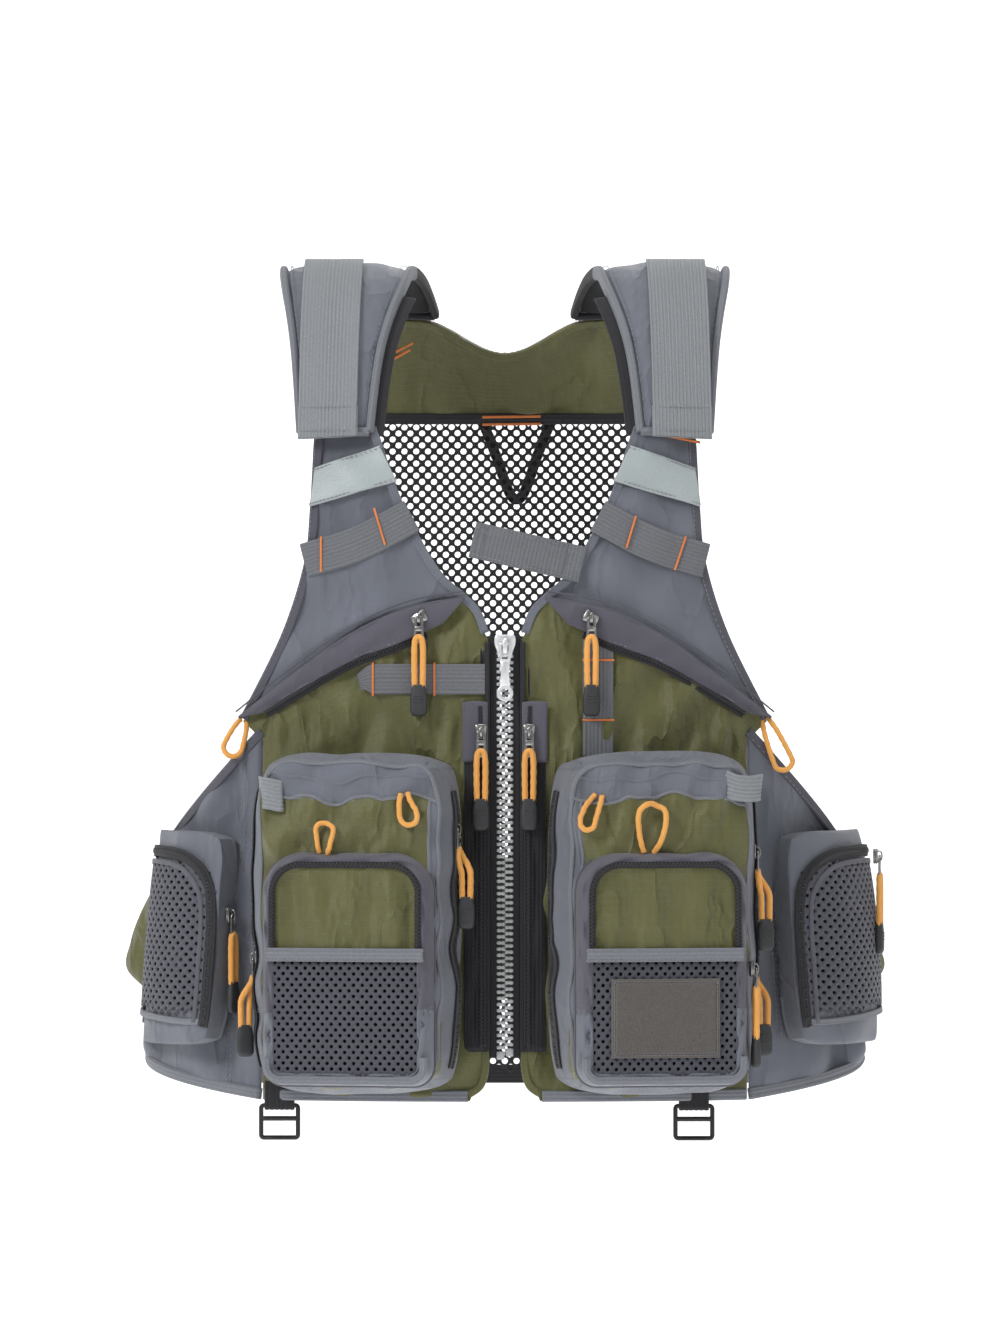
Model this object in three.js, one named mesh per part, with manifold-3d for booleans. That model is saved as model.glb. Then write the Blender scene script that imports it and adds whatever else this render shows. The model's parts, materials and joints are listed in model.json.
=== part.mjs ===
// A fishing vest in millimetres, +Z up, its front facing -Y and the wearer's left towards +X.
// The origin is where the vest hangs: midway between the two shoulders, at the height of the
// shoulder pads' undersides. Each soft piece is a plain closed solid laid over one torso form,
// and each zip has a slider and a pull that are separate solids.
import * as THREE from "three";
import { mergeVertices } from "three/addons/utils/BufferGeometryUtils.js";
import Module from "manifold-3d";

const wasm = await Module();
wasm.setup();

// ---- Driving sizes -------------------------------------------------------------------------

// The torso form: a rounded oblong in plan that closes in a dome over the shoulders.
const TORSO = {
  halfWidth: 223,
  hemFlare: 13,
  flareStart: -366,
  flareLength: 150,
  frontDepth: 115,
  backDepth: 125,
  domeBase: -220,
  squareness: 2.2,
};
const HEM = -540;
const SIDE_HEM_RISE = 22;

const CLOTH = 2; // thickness of a fabric panel
const SEAM = 1.5; // gap between two panels that a seam joins
const LAYER_GAP = 1; // gap between a panel and what is sewn on it
const WEBBING = { thickness: 1.6, shoulderWidth: 39, gearHeight: 22, chestHeight: 20 };

const YOKE_BOTTOM_OUTER = { x: 172, z: -292 };
const YOKE_BOTTOM_INNER = { x: 26, z: -213 };
const YOKE_BOTTOM_BOW = 16;
const SIDE_SEAM = 158; // distance from the middle to the seam between front and side
const BACK_YOKE_BOTTOM = -88;
const NECK_BACK = -30;
const UNDERARM = -378;

const PAD = { edge: 6, crown: 4, frontTilt: 31, backTilt: 117, lift: 0.4 };

// The main zip. The two rows of teeth leave a slot down the middle for the slider's wedge.
const ZIP = { top: -238, bottom: HEM + 28, slot: 0.6, teethWidth: 4, teethDepth: 3.6, pitch: 4 };
const TAPE = { width: 5.4, thickness: 1, gap: 0.4 };
const MAIN_SLIDER = { length: 15, overhang: 2.4, plate: 1.6, clearance: 0.5, wedge: 0.3 };
const MAIN_PULL = { length: 36, width: 11, thickness: 1.8 };

// The zips of the pockets, all of one size.
const SLIDER = { length: 10, width: 8, thickness: 2.6, standOff: 0.8 };
const BRIDGE = { width: 2, reach: 3.4, wall: 1, height: 3.4 };
const PULL = {
  bar: 0.7,
  barOut: (BRIDGE.height - BRIDGE.wall) / 2 + 0.2,
  railOut: BRIDGE.width / 2 + 2.4,
  railIn: BRIDGE.width / 2 + 0.6,
  plateTop: 2 + BRIDGE.reach,
  metalLength: 17,
  thickness: 1.3,
  cord: 3,
  cordSpread: 4.4,
  cordBottom: 47,
  gripTop: 44,
  gripBottom: 64,
  gripWidth: 9.5,
  gripThickness: 4.6,
};

const CHEST_ZIP = { x: 55, z: -226, lift: 3.6, slope: 27 };
const CARGO = { x: 92, width: 130, top: -314, bottom: HEM + 6, depth: 44, faceWidth: 121, inset: 5 };
const FRONT_POCKET = { margin: 8, headroom: 58, depth: 16, inset: 4 };
const PULL_DROP = { innerRight: 49, upperLeft: 64 }; // sliders below the top of the cargo pocket
const PULL_RISE = 93; // the lower sliders above the hem
const INNER_POCKET = { inner: 12, outer: 25.6, top: -284, bottom: HEM + 32, thickness: 2.5, zipX: 15.5 };
const SIDE_POCKET = {
  frontX: 171,
  backAngle: 93,
  top: HEM + 174,
  bottom: HEM + 34,
  frontDepth: 20,
  backDepth: 5,
  crown: 8,
  piping: 6.5,
};
const POUCH = { start: 108, top: HEM + 152, height: 96, lift: 3, endShare: 0.52 };
const PATCH = { width: 71, height: 51, z: HEM + 56, thickness: 1.8 };
const TAB = { length: 74, height: 24, thickness: 2.4, rootX: 50, rootZ: -192, slope: -13 };
const HANGER = { x: 8, width: 46, drop: 54, band: 6, thickness: 2.6, top: -93, standOff: 11 };
const BUCKLE = { width: 27, height: 24, thickness: 3, bar: 3, slot: 5.5, belowHem: 2.4 };
const RIGHT_BUCKLE_X = -147;
const LEFT_BUCKLE_X = 123;

// ---- Colours -------------------------------------------------------------------------------

const finish = (color, roughness, metalness = 0) =>
  new THREE.MeshStandardMaterial({ color, roughness, metalness });
const GREY_CLOTH = finish(0x656974, 0.75);
const OLIVE_CLOTH = finish(0x5b5e36, 0.6);
const BLACK_MESH = finish(0x17181a, 0.8);
const GREY_MESH = finish(0x4b4d58, 0.85);
const GREY_WEBBING = finish(0x74787c, 0.85);
const BLACK_CLOTH = finish(0x1b1b1f, 0.8);
const REFLECTIVE = finish(0xa5afb2, 0.35);
const FELT = finish(0x5e5955, 0.95);
const STEEL = finish(0xb4b6ba, 0.3, 1);
const BRIGHT_PULL = finish(0xd0d3d6, 0.35, 0.8);
const ORANGE_CORD = finish(0xf29a4c, 0.8);
const BLACK_PLASTIC = finish(0x151618, 0.45);

// ---- The torso form ------------------------------------------------------------------------

const clamp01 = (t) => Math.min(1, Math.max(0, t));
const signedPower = (t, power) => Math.sign(t) * Math.pow(Math.abs(t), power);
const mix = (a, b, t) => a + (b - a) * t;

// How far the plan section reaches forward at a share of its half width.
const sectionShare = (share) => {
  const left = Math.max(0, 1 - Math.pow(Math.abs(share), TORSO.squareness));
  return Math.pow(left, 1 / TORSO.squareness);
};

// The dome takes the depth from full at its base to nothing at z = 0.
const domeShare = (z) => {
  const up = clamp01((z - TORSO.domeBase) / -TORSO.domeBase);
  return Math.sqrt(1 - up * up);
};

const halfWidth = (z) =>
  TORSO.halfWidth + TORSO.hemFlare * clamp01((TORSO.flareStart - z) / TORSO.flareLength);

const depthTowards = (side) => (side < 0 ? TORSO.frontDepth : TORSO.backDepth);

const face = (side) => (x, z) =>
  new THREE.Vector3(
    x,
    side * depthTowards(side) * domeShare(z) * sectionShare(x / halfWidth(z)),
    z,
  );
const onFront = face(-1);
const onBack = face(1);

// The same surface by its angle in plan: 0 at the front, 90 at the wearer's left, 180 at the back.
const around = (angle, z) => {
  const a = THREE.MathUtils.degToRad(angle);
  const power = 2 / TORSO.squareness;
  const ahead = Math.cos(a) > 0 ? -1 : 1;
  return new THREE.Vector3(
    halfWidth(z) * signedPower(Math.sin(a), power),
    ahead * depthTowards(ahead) * domeShare(z) * Math.pow(Math.abs(Math.cos(a)), power),
    z,
  );
};

// The plan angle of a point of the front at x.
const angleAt = (x, z) =>
  THREE.MathUtils.radToDeg(Math.asin(Math.pow(x / halfWidth(z), TORSO.squareness / 2)));

// The dome by its tilt: 0 at the front of its base, 90 on top of the shoulder, 180 at the back.
const overShoulder = (x, tilt) => {
  const a = THREE.MathUtils.degToRad(tilt);
  const side = Math.cos(a) > 0 ? -1 : 1;
  return new THREE.Vector3(
    x,
    -depthTowards(side) * Math.cos(a) * sectionShare(x / TORSO.halfWidth),
    TORSO.domeBase * (1 - Math.sin(a)),
  );
};

const tiltAt = (z) =>
  THREE.MathUtils.radToDeg(Math.asin(clamp01(1 - z / TORSO.domeBase)));

// The outward normal of a surface at its two parameters, by finite differences.
const NUDGE = 0.05;
const normalOf = (surface, p, q) => {
  const alongP = surface(p + NUDGE, q).sub(surface(p - NUDGE, q));
  const alongQ = surface(p, q + NUDGE).sub(surface(p, q - NUDGE));
  const normal = alongP.cross(alongQ).normalize();
  const at = surface(p, q);
  const fromAxis = new THREE.Vector3(at.x, at.y, Math.max(0, at.z - TORSO.domeBase));
  return normal.dot(fromAxis) < 0 ? normal.negate() : normal;
};

const raised = (surface, p, q, lift) =>
  surface(p, q).addScaledVector(normalOf(surface, p, q), lift);

// ---- Solids --------------------------------------------------------------------------------

// A closed solid between two sheets of points that share one grid of (u, v) from 0 to 1.
function loft(inner, outer, columns, rows) {
  const points = [];
  for (const sheet of [inner, outer])
    for (let j = 0; j <= rows; j++)
      for (let i = 0; i <= columns; i++) points.push(sheet(i / columns, j / rows));
  const size = (columns + 1) * (rows + 1);
  const at = (layer, i, j) => layer * size + j * (columns + 1) + i;
  const faces = [];
  const quad = (a, b, c, d) => faces.push(a, b, c, a, c, d);
  for (let j = 0; j < rows; j++)
    for (let i = 0; i < columns; i++) {
      quad(at(1, i, j), at(1, i + 1, j), at(1, i + 1, j + 1), at(1, i, j + 1));
      quad(at(0, i, j), at(0, i, j + 1), at(0, i + 1, j + 1), at(0, i + 1, j));
    }
  for (let i = 0; i < columns; i++) {
    quad(at(0, i, 0), at(0, i + 1, 0), at(1, i + 1, 0), at(1, i, 0));
    quad(at(1, i, rows), at(1, i + 1, rows), at(0, i + 1, rows), at(0, i, rows));
  }
  for (let j = 0; j < rows; j++) {
    quad(at(1, 0, j), at(1, 0, j + 1), at(0, 0, j + 1), at(0, 0, j));
    quad(at(0, columns, j), at(0, columns, j + 1), at(1, columns, j + 1), at(1, columns, j));
  }
  const positions = points.flatMap((p) => [p.x, p.y, p.z]);
  if (signedVolume(positions, faces) < 0)
    for (let k = 0; k < faces.length; k += 3)
      [faces[k], faces[k + 1]] = [faces[k + 1], faces[k]];
  const geometry = new THREE.BufferGeometry();
  geometry.setAttribute("position", new THREE.Float32BufferAttribute(positions, 3));
  geometry.setIndex(faces);
  geometry.computeVertexNormals();
  return geometry;
}

function signedVolume(positions, faces) {
  const point = (k) => new THREE.Vector3().fromArray(positions, 3 * faces[k]);
  let sum = 0;
  for (let k = 0; k < faces.length; k += 3)
    sum += point(k).dot(point(k + 1).cross(point(k + 2)));
  return sum / 6;
}

// A panel on a surface. area(u, v) gives the surface's parameters, lift its height off the
// surface, and thick its thickness, a number or a function of (u, v).
function panel(surface, area, lift, thick, columns, rows) {
  const thickness = typeof thick === "function" ? thick : () => thick;
  return loft(
    (u, v) => raised(surface, ...area(u, v), lift),
    (u, v) => raised(surface, ...area(u, v), lift + thickness(u, v)),
    columns,
    rows,
  );
}

// An area of the front or back between an outer and an inner edge, given as rows of
// [outer x, outer z, inner x, inner z, bow]. Bow lifts the middle of a row. side is 1 on the
// wearer's left and -1 on the right.
const between = (rows, side = 1) => (u, v) => {
  const at = Math.min(v * (rows.length - 1), rows.length - 1 - 1e-9);
  const k = Math.floor(at);
  const row = rows[k].map((value, i) => mix(value, rows[k + 1][i], at - k));
  const x = mix(row[0], row[2], u);
  const z = mix(row[1], row[3], u) + 4 * u * (1 - u) * (row[4] ?? 0);
  return [side * x, z];
};

// Pulls the corners of a square grid in, for an outline with soft corners.
const SOFT_CORNER = 0.07;
const softened = (u, v) => {
  const a = 2 * u - 1;
  const b = 2 * v - 1;
  return [a * (1 - SOFT_CORNER * Math.pow(b, 6)), b * (1 - SOFT_CORNER * Math.pow(a, 6))];
};

function toSolid(geometry) {
  const bare = geometry.clone();
  for (const name of Object.keys(bare.attributes))
    if (name !== "position") bare.deleteAttribute(name);
  const merged = mergeVertices(bare, 1e-4);
  return new wasm.Manifold(
    new wasm.Mesh({
      numProp: 3,
      vertProperties: merged.attributes.position.array,
      triVerts: new Uint32Array(merged.index.array),
    }),
  );
}

function toGeometry(solid) {
  const mesh = solid.getMesh();
  const geometry = new THREE.BufferGeometry();
  geometry.setAttribute("position", new THREE.BufferAttribute(mesh.vertProperties, 3));
  geometry.setIndex(new THREE.BufferAttribute(mesh.triVerts, 1));
  geometry.computeVertexNormals();
  return geometry;
}

const joined = (...geometries) =>
  toGeometry(geometries.map(toSolid).reduce((whole, part) => whole.add(part)));

// A box given by its lowest and highest corners.
function box(low, high) {
  const size = high.map((value, i) => value - low[i]);
  return new THREE.BoxGeometry(...size).translate(
    ...low.map((value, i) => value + size[i] / 2),
  );
}

// A flat plate in the XZ plane: an outline drawn in (x, z), thickness centred on y.
function plate(shape, thickness, y = 0, segments = 6) {
  const made = new THREE.ExtrudeGeometry(shape, {
    depth: thickness,
    bevelEnabled: false,
    curveSegments: segments,
  });
  return made.rotateX(Math.PI / 2).translate(0, y + thickness / 2, 0);
}

function polygon(points, Kind = THREE.Shape) {
  return new Kind(points.map(([x, z]) => new THREE.Vector2(x, z)));
}

const rectangle = (x0, z0, x1, z1, Kind) =>
  polygon([[x0, z0], [x1, z0], [x1, z1], [x0, z1]], Kind);

// ---- The assembly --------------------------------------------------------------------------

const vest = new THREE.Group();

function add(name, geometry, material, parent = vest) {
  const mesh = new THREE.Mesh(geometry, material);
  mesh.name = name;
  parent.add(mesh);
  return mesh;
}

const SIDES = [
  { word: "right", side: -1 },
  { word: "left", side: 1 },
];

// ---- Back ----------------------------------------------------------------------------------

const BACK_YOKE_OUTER = 140;
const BACK_WAIST_OUTER = 127;
const NECK_DIP = -9;

function addBack() {
  const yoke = between([
    [BACK_YOKE_OUTER, NECK_BACK, -BACK_YOKE_OUTER, NECK_BACK, NECK_DIP],
    [BACK_WAIST_OUTER, BACK_YOKE_BOTTOM, -BACK_WAIST_OUTER, BACK_YOKE_BOTTOM, 0],
  ]);
  add("back_yoke", panel(onBack, yoke, 0, CLOTH, 14, 4), OLIVE_CLOTH);
  const meshTop = BACK_YOKE_BOTTOM - SEAM;
  const backEdge = [
    [BACK_WAIST_OUTER, meshTop],
    [BACK_WAIST_OUTER + 1, -153],
    [BACK_WAIST_OUTER + 5, -191],
    [BACK_WAIST_OUTER + 19, -238],
    [SIDE_SEAM - 1, YOKE_BOTTOM_OUTER.z],
    [SIDE_SEAM - 1, UNDERARM],
    [SIDE_SEAM - 1, HEM],
  ];
  const mesh = between(backEdge.map(([x, z]) => [x, z, -x, z, 0]));
  add("back_mesh", panel(onBack, mesh, 0, CLOTH, 14, 12), BLACK_MESH);
  const pouch = (u, v) => [
    mix(POUCH.start, 360 - POUCH.start, u),
    POUCH.top - POUCH.height * v,
  ];
  // The pouch sags: it is deepest near its foot, and deeper in the middle than at its ends.
  const pouchDepths = [8, 22, 35, 46, 50, 12];
  const pouchDepth = (u, v) => {
    const at = Math.min(v * (pouchDepths.length - 1), pouchDepths.length - 1 - 1e-9);
    const k = Math.floor(at);
    const full = mix(POUCH.endShare, 1, Math.sin(Math.PI * u));
    return full * mix(pouchDepths[k], pouchDepths[k + 1], at - k);
  };
  const pouchSolid = panel(around, pouch, CLOTH + POUCH.lift, pouchDepth, 16, 5);
  add("back_pouch", pouchSolid, OLIVE_CLOTH);
}

// A triangle of braided webbing that stands a little off the outside of the back, for a landing
// net.
function addNetHanger() {
  const outline = polygon([
    [-HANGER.width / 2, 0],
    [HANGER.width / 2, 0],
    [HANGER.band / 2, -HANGER.drop],
    [-HANGER.band / 2, -HANGER.drop],
  ]);
  const insetSide = HANGER.band * 1.3;
  outline.holes.push(
    polygon(
      [
        [-HANGER.width / 2 + insetSide, -HANGER.band],
        [0, -HANGER.drop + 2 * insetSide],
        [HANGER.width / 2 - insetSide, -HANGER.band],
      ],
      THREE.Path,
    ),
  );
  const lift = CLOTH + LAYER_GAP + HANGER.thickness;
  const top = raised(onBack, HANGER.x, HANGER.top, lift);
  const foot = raised(onBack, HANGER.x, HANGER.top - HANGER.drop, lift + HANGER.standOff);
  const hanger = add("net_hanger", plate(outline, HANGER.thickness), BLACK_MESH);
  hanger.position.copy(top);
  hanger.rotation.x = Math.atan2(foot.y - top.y, top.z - foot.z);
}

// ---- Front and sides -----------------------------------------------------------------------

const frontYokeRows = [
  [124, -114, 81, -112, 0],
  [126, -153, 69, -147, 2],
  [130, -191, 54, -178, 6],
  [145, -238, 40, -200, 11],
  [
    YOKE_BOTTOM_OUTER.x,
    YOKE_BOTTOM_OUTER.z,
    YOKE_BOTTOM_INNER.x,
    YOKE_BOTTOM_INNER.z,
    YOKE_BOTTOM_BOW,
  ],
];

const frontEdge = ZIP.slot + ZIP.teethWidth + TAPE.width + 2 * TAPE.gap;

const chestRows = [
  [
    YOKE_BOTTOM_OUTER.x - SEAM,
    YOKE_BOTTOM_OUTER.z - SEAM,
    YOKE_BOTTOM_INNER.x,
    YOKE_BOTTOM_INNER.z - SEAM,
    YOKE_BOTTOM_BOW,
  ],
  [SIDE_SEAM - SEAM / 2, YOKE_BOTTOM_OUTER.z - 14, frontEdge, ZIP.top - 2, 10],
  [SIDE_SEAM - SEAM / 2, -340, frontEdge, -300, 0],
  [SIDE_SEAM - SEAM / 2, -420, frontEdge, -400, 0],
  [SIDE_SEAM - SEAM / 2, ZIP.bottom, frontEdge, ZIP.bottom, 0],
  [SIDE_SEAM - SEAM / 2, HEM, frontEdge + 12, HEM, 0],
];

// The top edge of the side panel follows the armhole, lowest under the arm.
const SIDE_START_LIFT = 69;
function sideArea(side) {
  const start = angleAt(SIDE_SEAM + SEAM / 2, UNDERARM);
  return (u, v) => {
    const angle = mix(start, 180 - start, u);
    const across = Math.abs(angle - 90) / (90 - start);
    const top = UNDERARM + (SIDE_START_LIFT - SEAM) * Math.pow(across, 1.7);
    const hem = HEM + SIDE_HEM_RISE * (1 - across);
    return [side * angle, mix(top, hem, v)];
  };
}

function addFront({ word, side }) {
  const yoke = panel(onFront, between(frontYokeRows, side), 0, CLOTH, 5, 8);
  add("front_yoke_" + word, yoke, GREY_CLOTH);
  const chest = panel(onFront, between(chestRows, side), 0, CLOTH, 6, 10);
  add("chest_panel_" + word, chest, OLIVE_CLOTH);
  add("side_panel_" + word, panel(around, sideArea(side), 0, CLOTH, 10, 4), GREY_CLOTH);
}

function addTrims({ word, side }) {
  const onCloth = CLOTH + LAYER_GAP;
  const band = between([[123, -129, 81, -115, 0], [126, -154, 70, -138, 0]], side);
  add("reflective_band_" + word, panel(onFront, band, onCloth, 0.8, 4, 2), REFLECTIVE);
  const gear = between(
    [
      [127, -178, 66, -178 + WEBBING.gearHeight, -1],
      [131, -178 - WEBBING.gearHeight, 54, -178 + 6, -3],
    ],
    side,
  );
  const gearSolid = panel(onFront, gear, onCloth, WEBBING.thickness, 5, 2);
  add("gear_webbing_" + word, gearSolid, GREY_WEBBING);
}

// One chest has its webbing across, for hanging tools, and the other has it upright.
function addChestWebbing() {
  const onCloth = CLOTH + LAYER_GAP;
  const across = between(
    [
      [88, -256, frontEdge, -256, 0],
      [94, -256 - WEBBING.chestHeight, frontEdge, -256 - WEBBING.chestHeight, 0],
    ],
    -1,
  );
  const rightSolid = panel(onFront, across, onCloth, WEBBING.thickness, 5, 2);
  add("chest_webbing_right", rightSolid, GREY_WEBBING);
  const upright = between([
    [50 + WEBBING.chestHeight, -244, 50, -244, 0],
    [50 + WEBBING.chestHeight, CARGO.top + 1, 50, CARGO.top + 1, 0],
  ]);
  const leftSolid = panel(onFront, upright, onCloth, WEBBING.thickness, 2, 4);
  add("chest_webbing_left", leftSolid, GREY_WEBBING);
}

// ---- Shoulders -----------------------------------------------------------------------------

// Inner and outer edge of the pad, and the tilt at which it has them.
const padEdges = [
  [PAD.frontTilt, 87, 133],
  [50, 80, 138],
  [72, 66, 146],
  [90, 60, 148],
  [104, 52, 145],
  [PAD.backTilt, 45, 138],
];

function padArea(side) {
  return (u, v) => {
    const at = Math.min(v * (padEdges.length - 1), padEdges.length - 1 - 1e-9);
    const k = Math.floor(at);
    const [tilt, inner, outer] = padEdges[k].map((value, i) =>
      mix(value, padEdges[k + 1][i], at - k),
    );
    return [side * mix(inner, outer, u), tilt];
  };
}

function addShoulder({ word, side }) {
  const padThickness = (u) => PAD.edge + PAD.crown * Math.sin(Math.PI * u);
  const pad = panel(overShoulder, padArea(side), PAD.lift, padThickness, 5, 15);
  add("shoulder_pad_" + word, pad, GREY_CLOTH);
  const middle = 113;
  const half = WEBBING.shoulderWidth / 2;
  const strap = (u, v) => [
    side * mix(middle - half, middle + half, u),
    mix(PAD.frontTilt - 1, 86, v),
  ];
  const lift = PAD.lift + PAD.edge + PAD.crown + LAYER_GAP;
  const strapSolid = panel(overShoulder, strap, lift, WEBBING.thickness, 3, 12);
  add("shoulder_webbing_" + word, strapSolid, GREY_WEBBING);
}

// ---- The main zip --------------------------------------------------------------------------

const zipPlane = -(TORSO.frontDepth + CLOTH / 2);

// A row of teeth as a comb: a spine along the tape with a tooth every pitch. The two rows are
// half a pitch apart.
function addZipSide({ word, side }) {
  const spine = 1.2;
  const outerX = ZIP.slot + ZIP.teethWidth;
  const start = ZIP.top - (side > 0 ? 0 : ZIP.pitch / 2);
  const count = Math.floor((start - ZIP.bottom) / ZIP.pitch);
  const points = [[outerX, start]];
  for (let k = 0; k < count; k++) {
    const z = start - k * ZIP.pitch;
    points.push([ZIP.slot, z], [ZIP.slot, z - ZIP.pitch / 2]);
    points.push([outerX - spine, z - ZIP.pitch / 2], [outerX - spine, z - ZIP.pitch]);
  }
  points.push([outerX, start - count * ZIP.pitch]);
  const mirrored = points.map(([x, z]) => [side * x, z]);
  if (side > 0) mirrored.reverse();
  const teeth = plate(polygon(mirrored), ZIP.teethDepth, zipPlane);
  add("zip_teeth_" + word, teeth, STEEL);
  const tapeStart = outerX + TAPE.gap;
  const xs = [side * tapeStart, side * (tapeStart + TAPE.width)].sort((a, b) => a - b);
  const half = TAPE.thickness / 2;
  const tape = box([xs[0], zipPlane - half, ZIP.bottom], [xs[1], zipPlane + half, ZIP.top]);
  add("zip_tape_" + word, tape, BLACK_CLOTH);
}

// A plate-and-plate slider round the teeth, joined by a thin wedge that runs in their slot, with
// a bridge on its face for the pull.
function addMainSlider() {
  const gap = ZIP.teethDepth / 2 + MAIN_SLIDER.clearance;
  const { length, plate: thick, overhang, wedge } = MAIN_SLIDER;
  const half = ZIP.slot + ZIP.teethWidth + overhang;
  const low = -length / 2;
  const wall = 1.4;
  const reach = 5;
  const frontFace = -gap - thick;
  const top = frontFace - 4.4;
  const body = joined(
    box([-half, frontFace, low], [half, -gap, length / 2]),
    box([-half, gap, low], [half, gap + thick, length / 2]),
    box([-wedge, -gap - 0.2, length / 2 - 5], [wedge, gap + 0.2, length / 2]),
    box([-1.5, top, -reach], [1.5, frontFace + 0.2, -reach + wall]),
    box([-1.5, top, reach - wall], [1.5, frontFace + 0.2, reach]),
    box([-1.5, top, -reach], [1.5, top + wall, reach]),
  );
  const slider = add("main_slider", body, BRIGHT_PULL);
  slider.position.set(0, zipPlane, ZIP.top - length / 2 + 1);
  const pull = new THREE.Shape();
  const width = MAIN_PULL.width / 2;
  const neck = width * 0.62;
  const ring = MAIN_PULL.length - width;
  pull.moveTo(-neck, 1.2);
  pull.lineTo(-neck * 0.9, -ring + width);
  pull.absarc(0, -ring, width, Math.PI * 0.8, Math.PI * 2.2, false);
  pull.lineTo(neck, 1.2);
  const windowHalf = 2.1;
  pull.holes.push(rectangle(-windowHalf, -8.4, windowHalf, -1, THREE.Path));
  const eye = new THREE.Path();
  eye.absarc(0, -ring, width * 0.5, 0, Math.PI * 2, true);
  pull.holes.push(eye);
  const puller = add("main_puller", plate(pull, MAIN_PULL.thickness, 0, 10), BRIGHT_PULL);
  puller.position.set(0, zipPlane + frontFace - 1.5, slider.position.z);
}

// ---- Pocket zips ---------------------------------------------------------------------------

// The slider faces -Y with its back on y = 0, its body turned to the slope of its zip. Its bridge
// makes a tunnel along X for the bar of the pull, which always hangs straight down.
function sliderGeometry(slope) {
  const { length, width, thickness } = SLIDER;
  const { reach, wall, height } = BRIDGE;
  const half = BRIDGE.width / 2;
  const taper = 0.8;
  const outline = polygon([
    [-width / 2, length / 2],
    [-width / 2 + taper, -length / 2],
    [width / 2 - taper, -length / 2],
    [width / 2, length / 2],
  ]);
  const top = -thickness - height;
  return joined(
    plate(outline, thickness, -thickness / 2).rotateY(slope),
    box([-half, top, -reach], [half, -thickness + 0.2, -reach + wall]),
    box([-half, top, reach - wall], [half, -thickness + 0.2, reach]),
    box([-half, top, -reach], [half, top + wall, reach]),
  );
}

// The pull hangs from its bar, which is the origin: a metal loop, a doubled cord and a moulded
// grip at the foot.
const pullGeometry = (() => {
  const { railOut, railIn, bar, plateTop, metalLength, thickness, cord } = PULL;
  const metal = rectangle(-railOut, -metalLength, railOut, bar);
  metal.holes.push(rectangle(-railIn, -plateTop, railIn, -bar, THREE.Path));
  const eyeTop = -plateTop - 3.6;
  metal.holes.push(rectangle(-railIn, -metalLength + 1.6, railIn, eyeTop, THREE.Path));
  const half = PULL.cordSpread / 2;
  const turn = -metalLength + cord / 2 + 1;
  const foot = -PULL.cordBottom;
  const route = new THREE.CatmullRomCurve3(
    [
      new THREE.Vector3(-half, 0, foot),
      new THREE.Vector3(-half, 0, turn - 5),
      new THREE.Vector3(0, 0, turn + half),
      new THREE.Vector3(half, 0, turn - 5),
      new THREE.Vector3(half, 0, foot),
    ],
    false,
    "centripetal",
  );
  const section = new THREE.Shape();
  section.absarc(0, 0, cord / 2, 0, Math.PI * 2, false);
  const rope = new THREE.ExtrudeGeometry(section, {
    steps: 9,
    curveSegments: 3,
    extrudePath: route,
  });
  const grip = box(
    [-PULL.gripWidth / 2, -PULL.gripThickness / 2, -PULL.gripBottom],
    [PULL.gripWidth / 2, PULL.gripThickness / 2, -PULL.gripTop],
  );
  return joined(plate(metal, thickness), rope, grip);
})();

// Puts a slider and its pull at a point of a surface, upright and facing outwards.
function addPocketZip(name, point, outward, slope = 0) {
  const out = outward.clone().setZ(0).normalize();
  const up = new THREE.Vector3(0, 0, 1);
  const turn = new THREE.Matrix4().makeBasis(up.clone().cross(out), out.clone().negate(), up);
  const slider = add("slider_" + name, sliderGeometry(slope), STEEL);
  slider.position.copy(point).addScaledVector(out, SLIDER.standOff);
  slider.setRotationFromMatrix(turn);
  const pull = add("pull_" + name, pullGeometry, ORANGE_CORD);
  pull.position.copy(slider.position).addScaledVector(out, SLIDER.thickness + PULL.barOut);
  pull.setRotationFromMatrix(turn);
}

// The slanting chest zip starts by the middle, just under the yoke's edge.
function addChestZip({ word, side }) {
  const { x, z, lift, slope } = CHEST_ZIP;
  const point = raised(onFront, side * x, z, CLOTH + lift);
  const turn = THREE.MathUtils.degToRad(90 - slope) * side;
  addPocketZip("chest_" + word, point, normalOf(onFront, side * x, z), turn);
}

// ---- Pockets -------------------------------------------------------------------------------

// The plane of the cargo pocket's face: its middle, its direction across and its outward normal.
function cargoFace(side) {
  const z = (CARGO.top + CARGO.bottom) / 2;
  const outward = normalOf(onFront, side * CARGO.x, z);
  const middle = raised(onFront, side * CARGO.x, z, CARGO.depth);
  const across = new THREE.Vector3(0, 0, 1).cross(outward).normalize();
  return { middle, across, outward };
}

const onPlane = ({ middle, across, outward }, width, height, lift, drop = 0) => (u, v) => {
  const [a, b] = softened(u, v);
  return middle
    .clone()
    .addScaledVector(across, (a * width) / 2)
    .addScaledVector(outward, lift)
    .add(new THREE.Vector3(0, 0, (-b * height) / 2 - drop));
};

const cargoHeight = CARGO.top - CARGO.bottom;
const frontPocketWidth = CARGO.faceWidth - FRONT_POCKET.margin;
const cargoLift = CLOTH + LAYER_GAP;

function cargoBase(side) {
  const [x, z] = [side * CARGO.x, (CARGO.top + CARGO.bottom) / 2];
  return (u, v) => {
    const [a, b] = softened(u, v);
    const px = x + (a * CARGO.width) / 2;
    return raised(onFront, px, z - (b * cargoHeight) / 2, cargoLift);
  };
}

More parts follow.
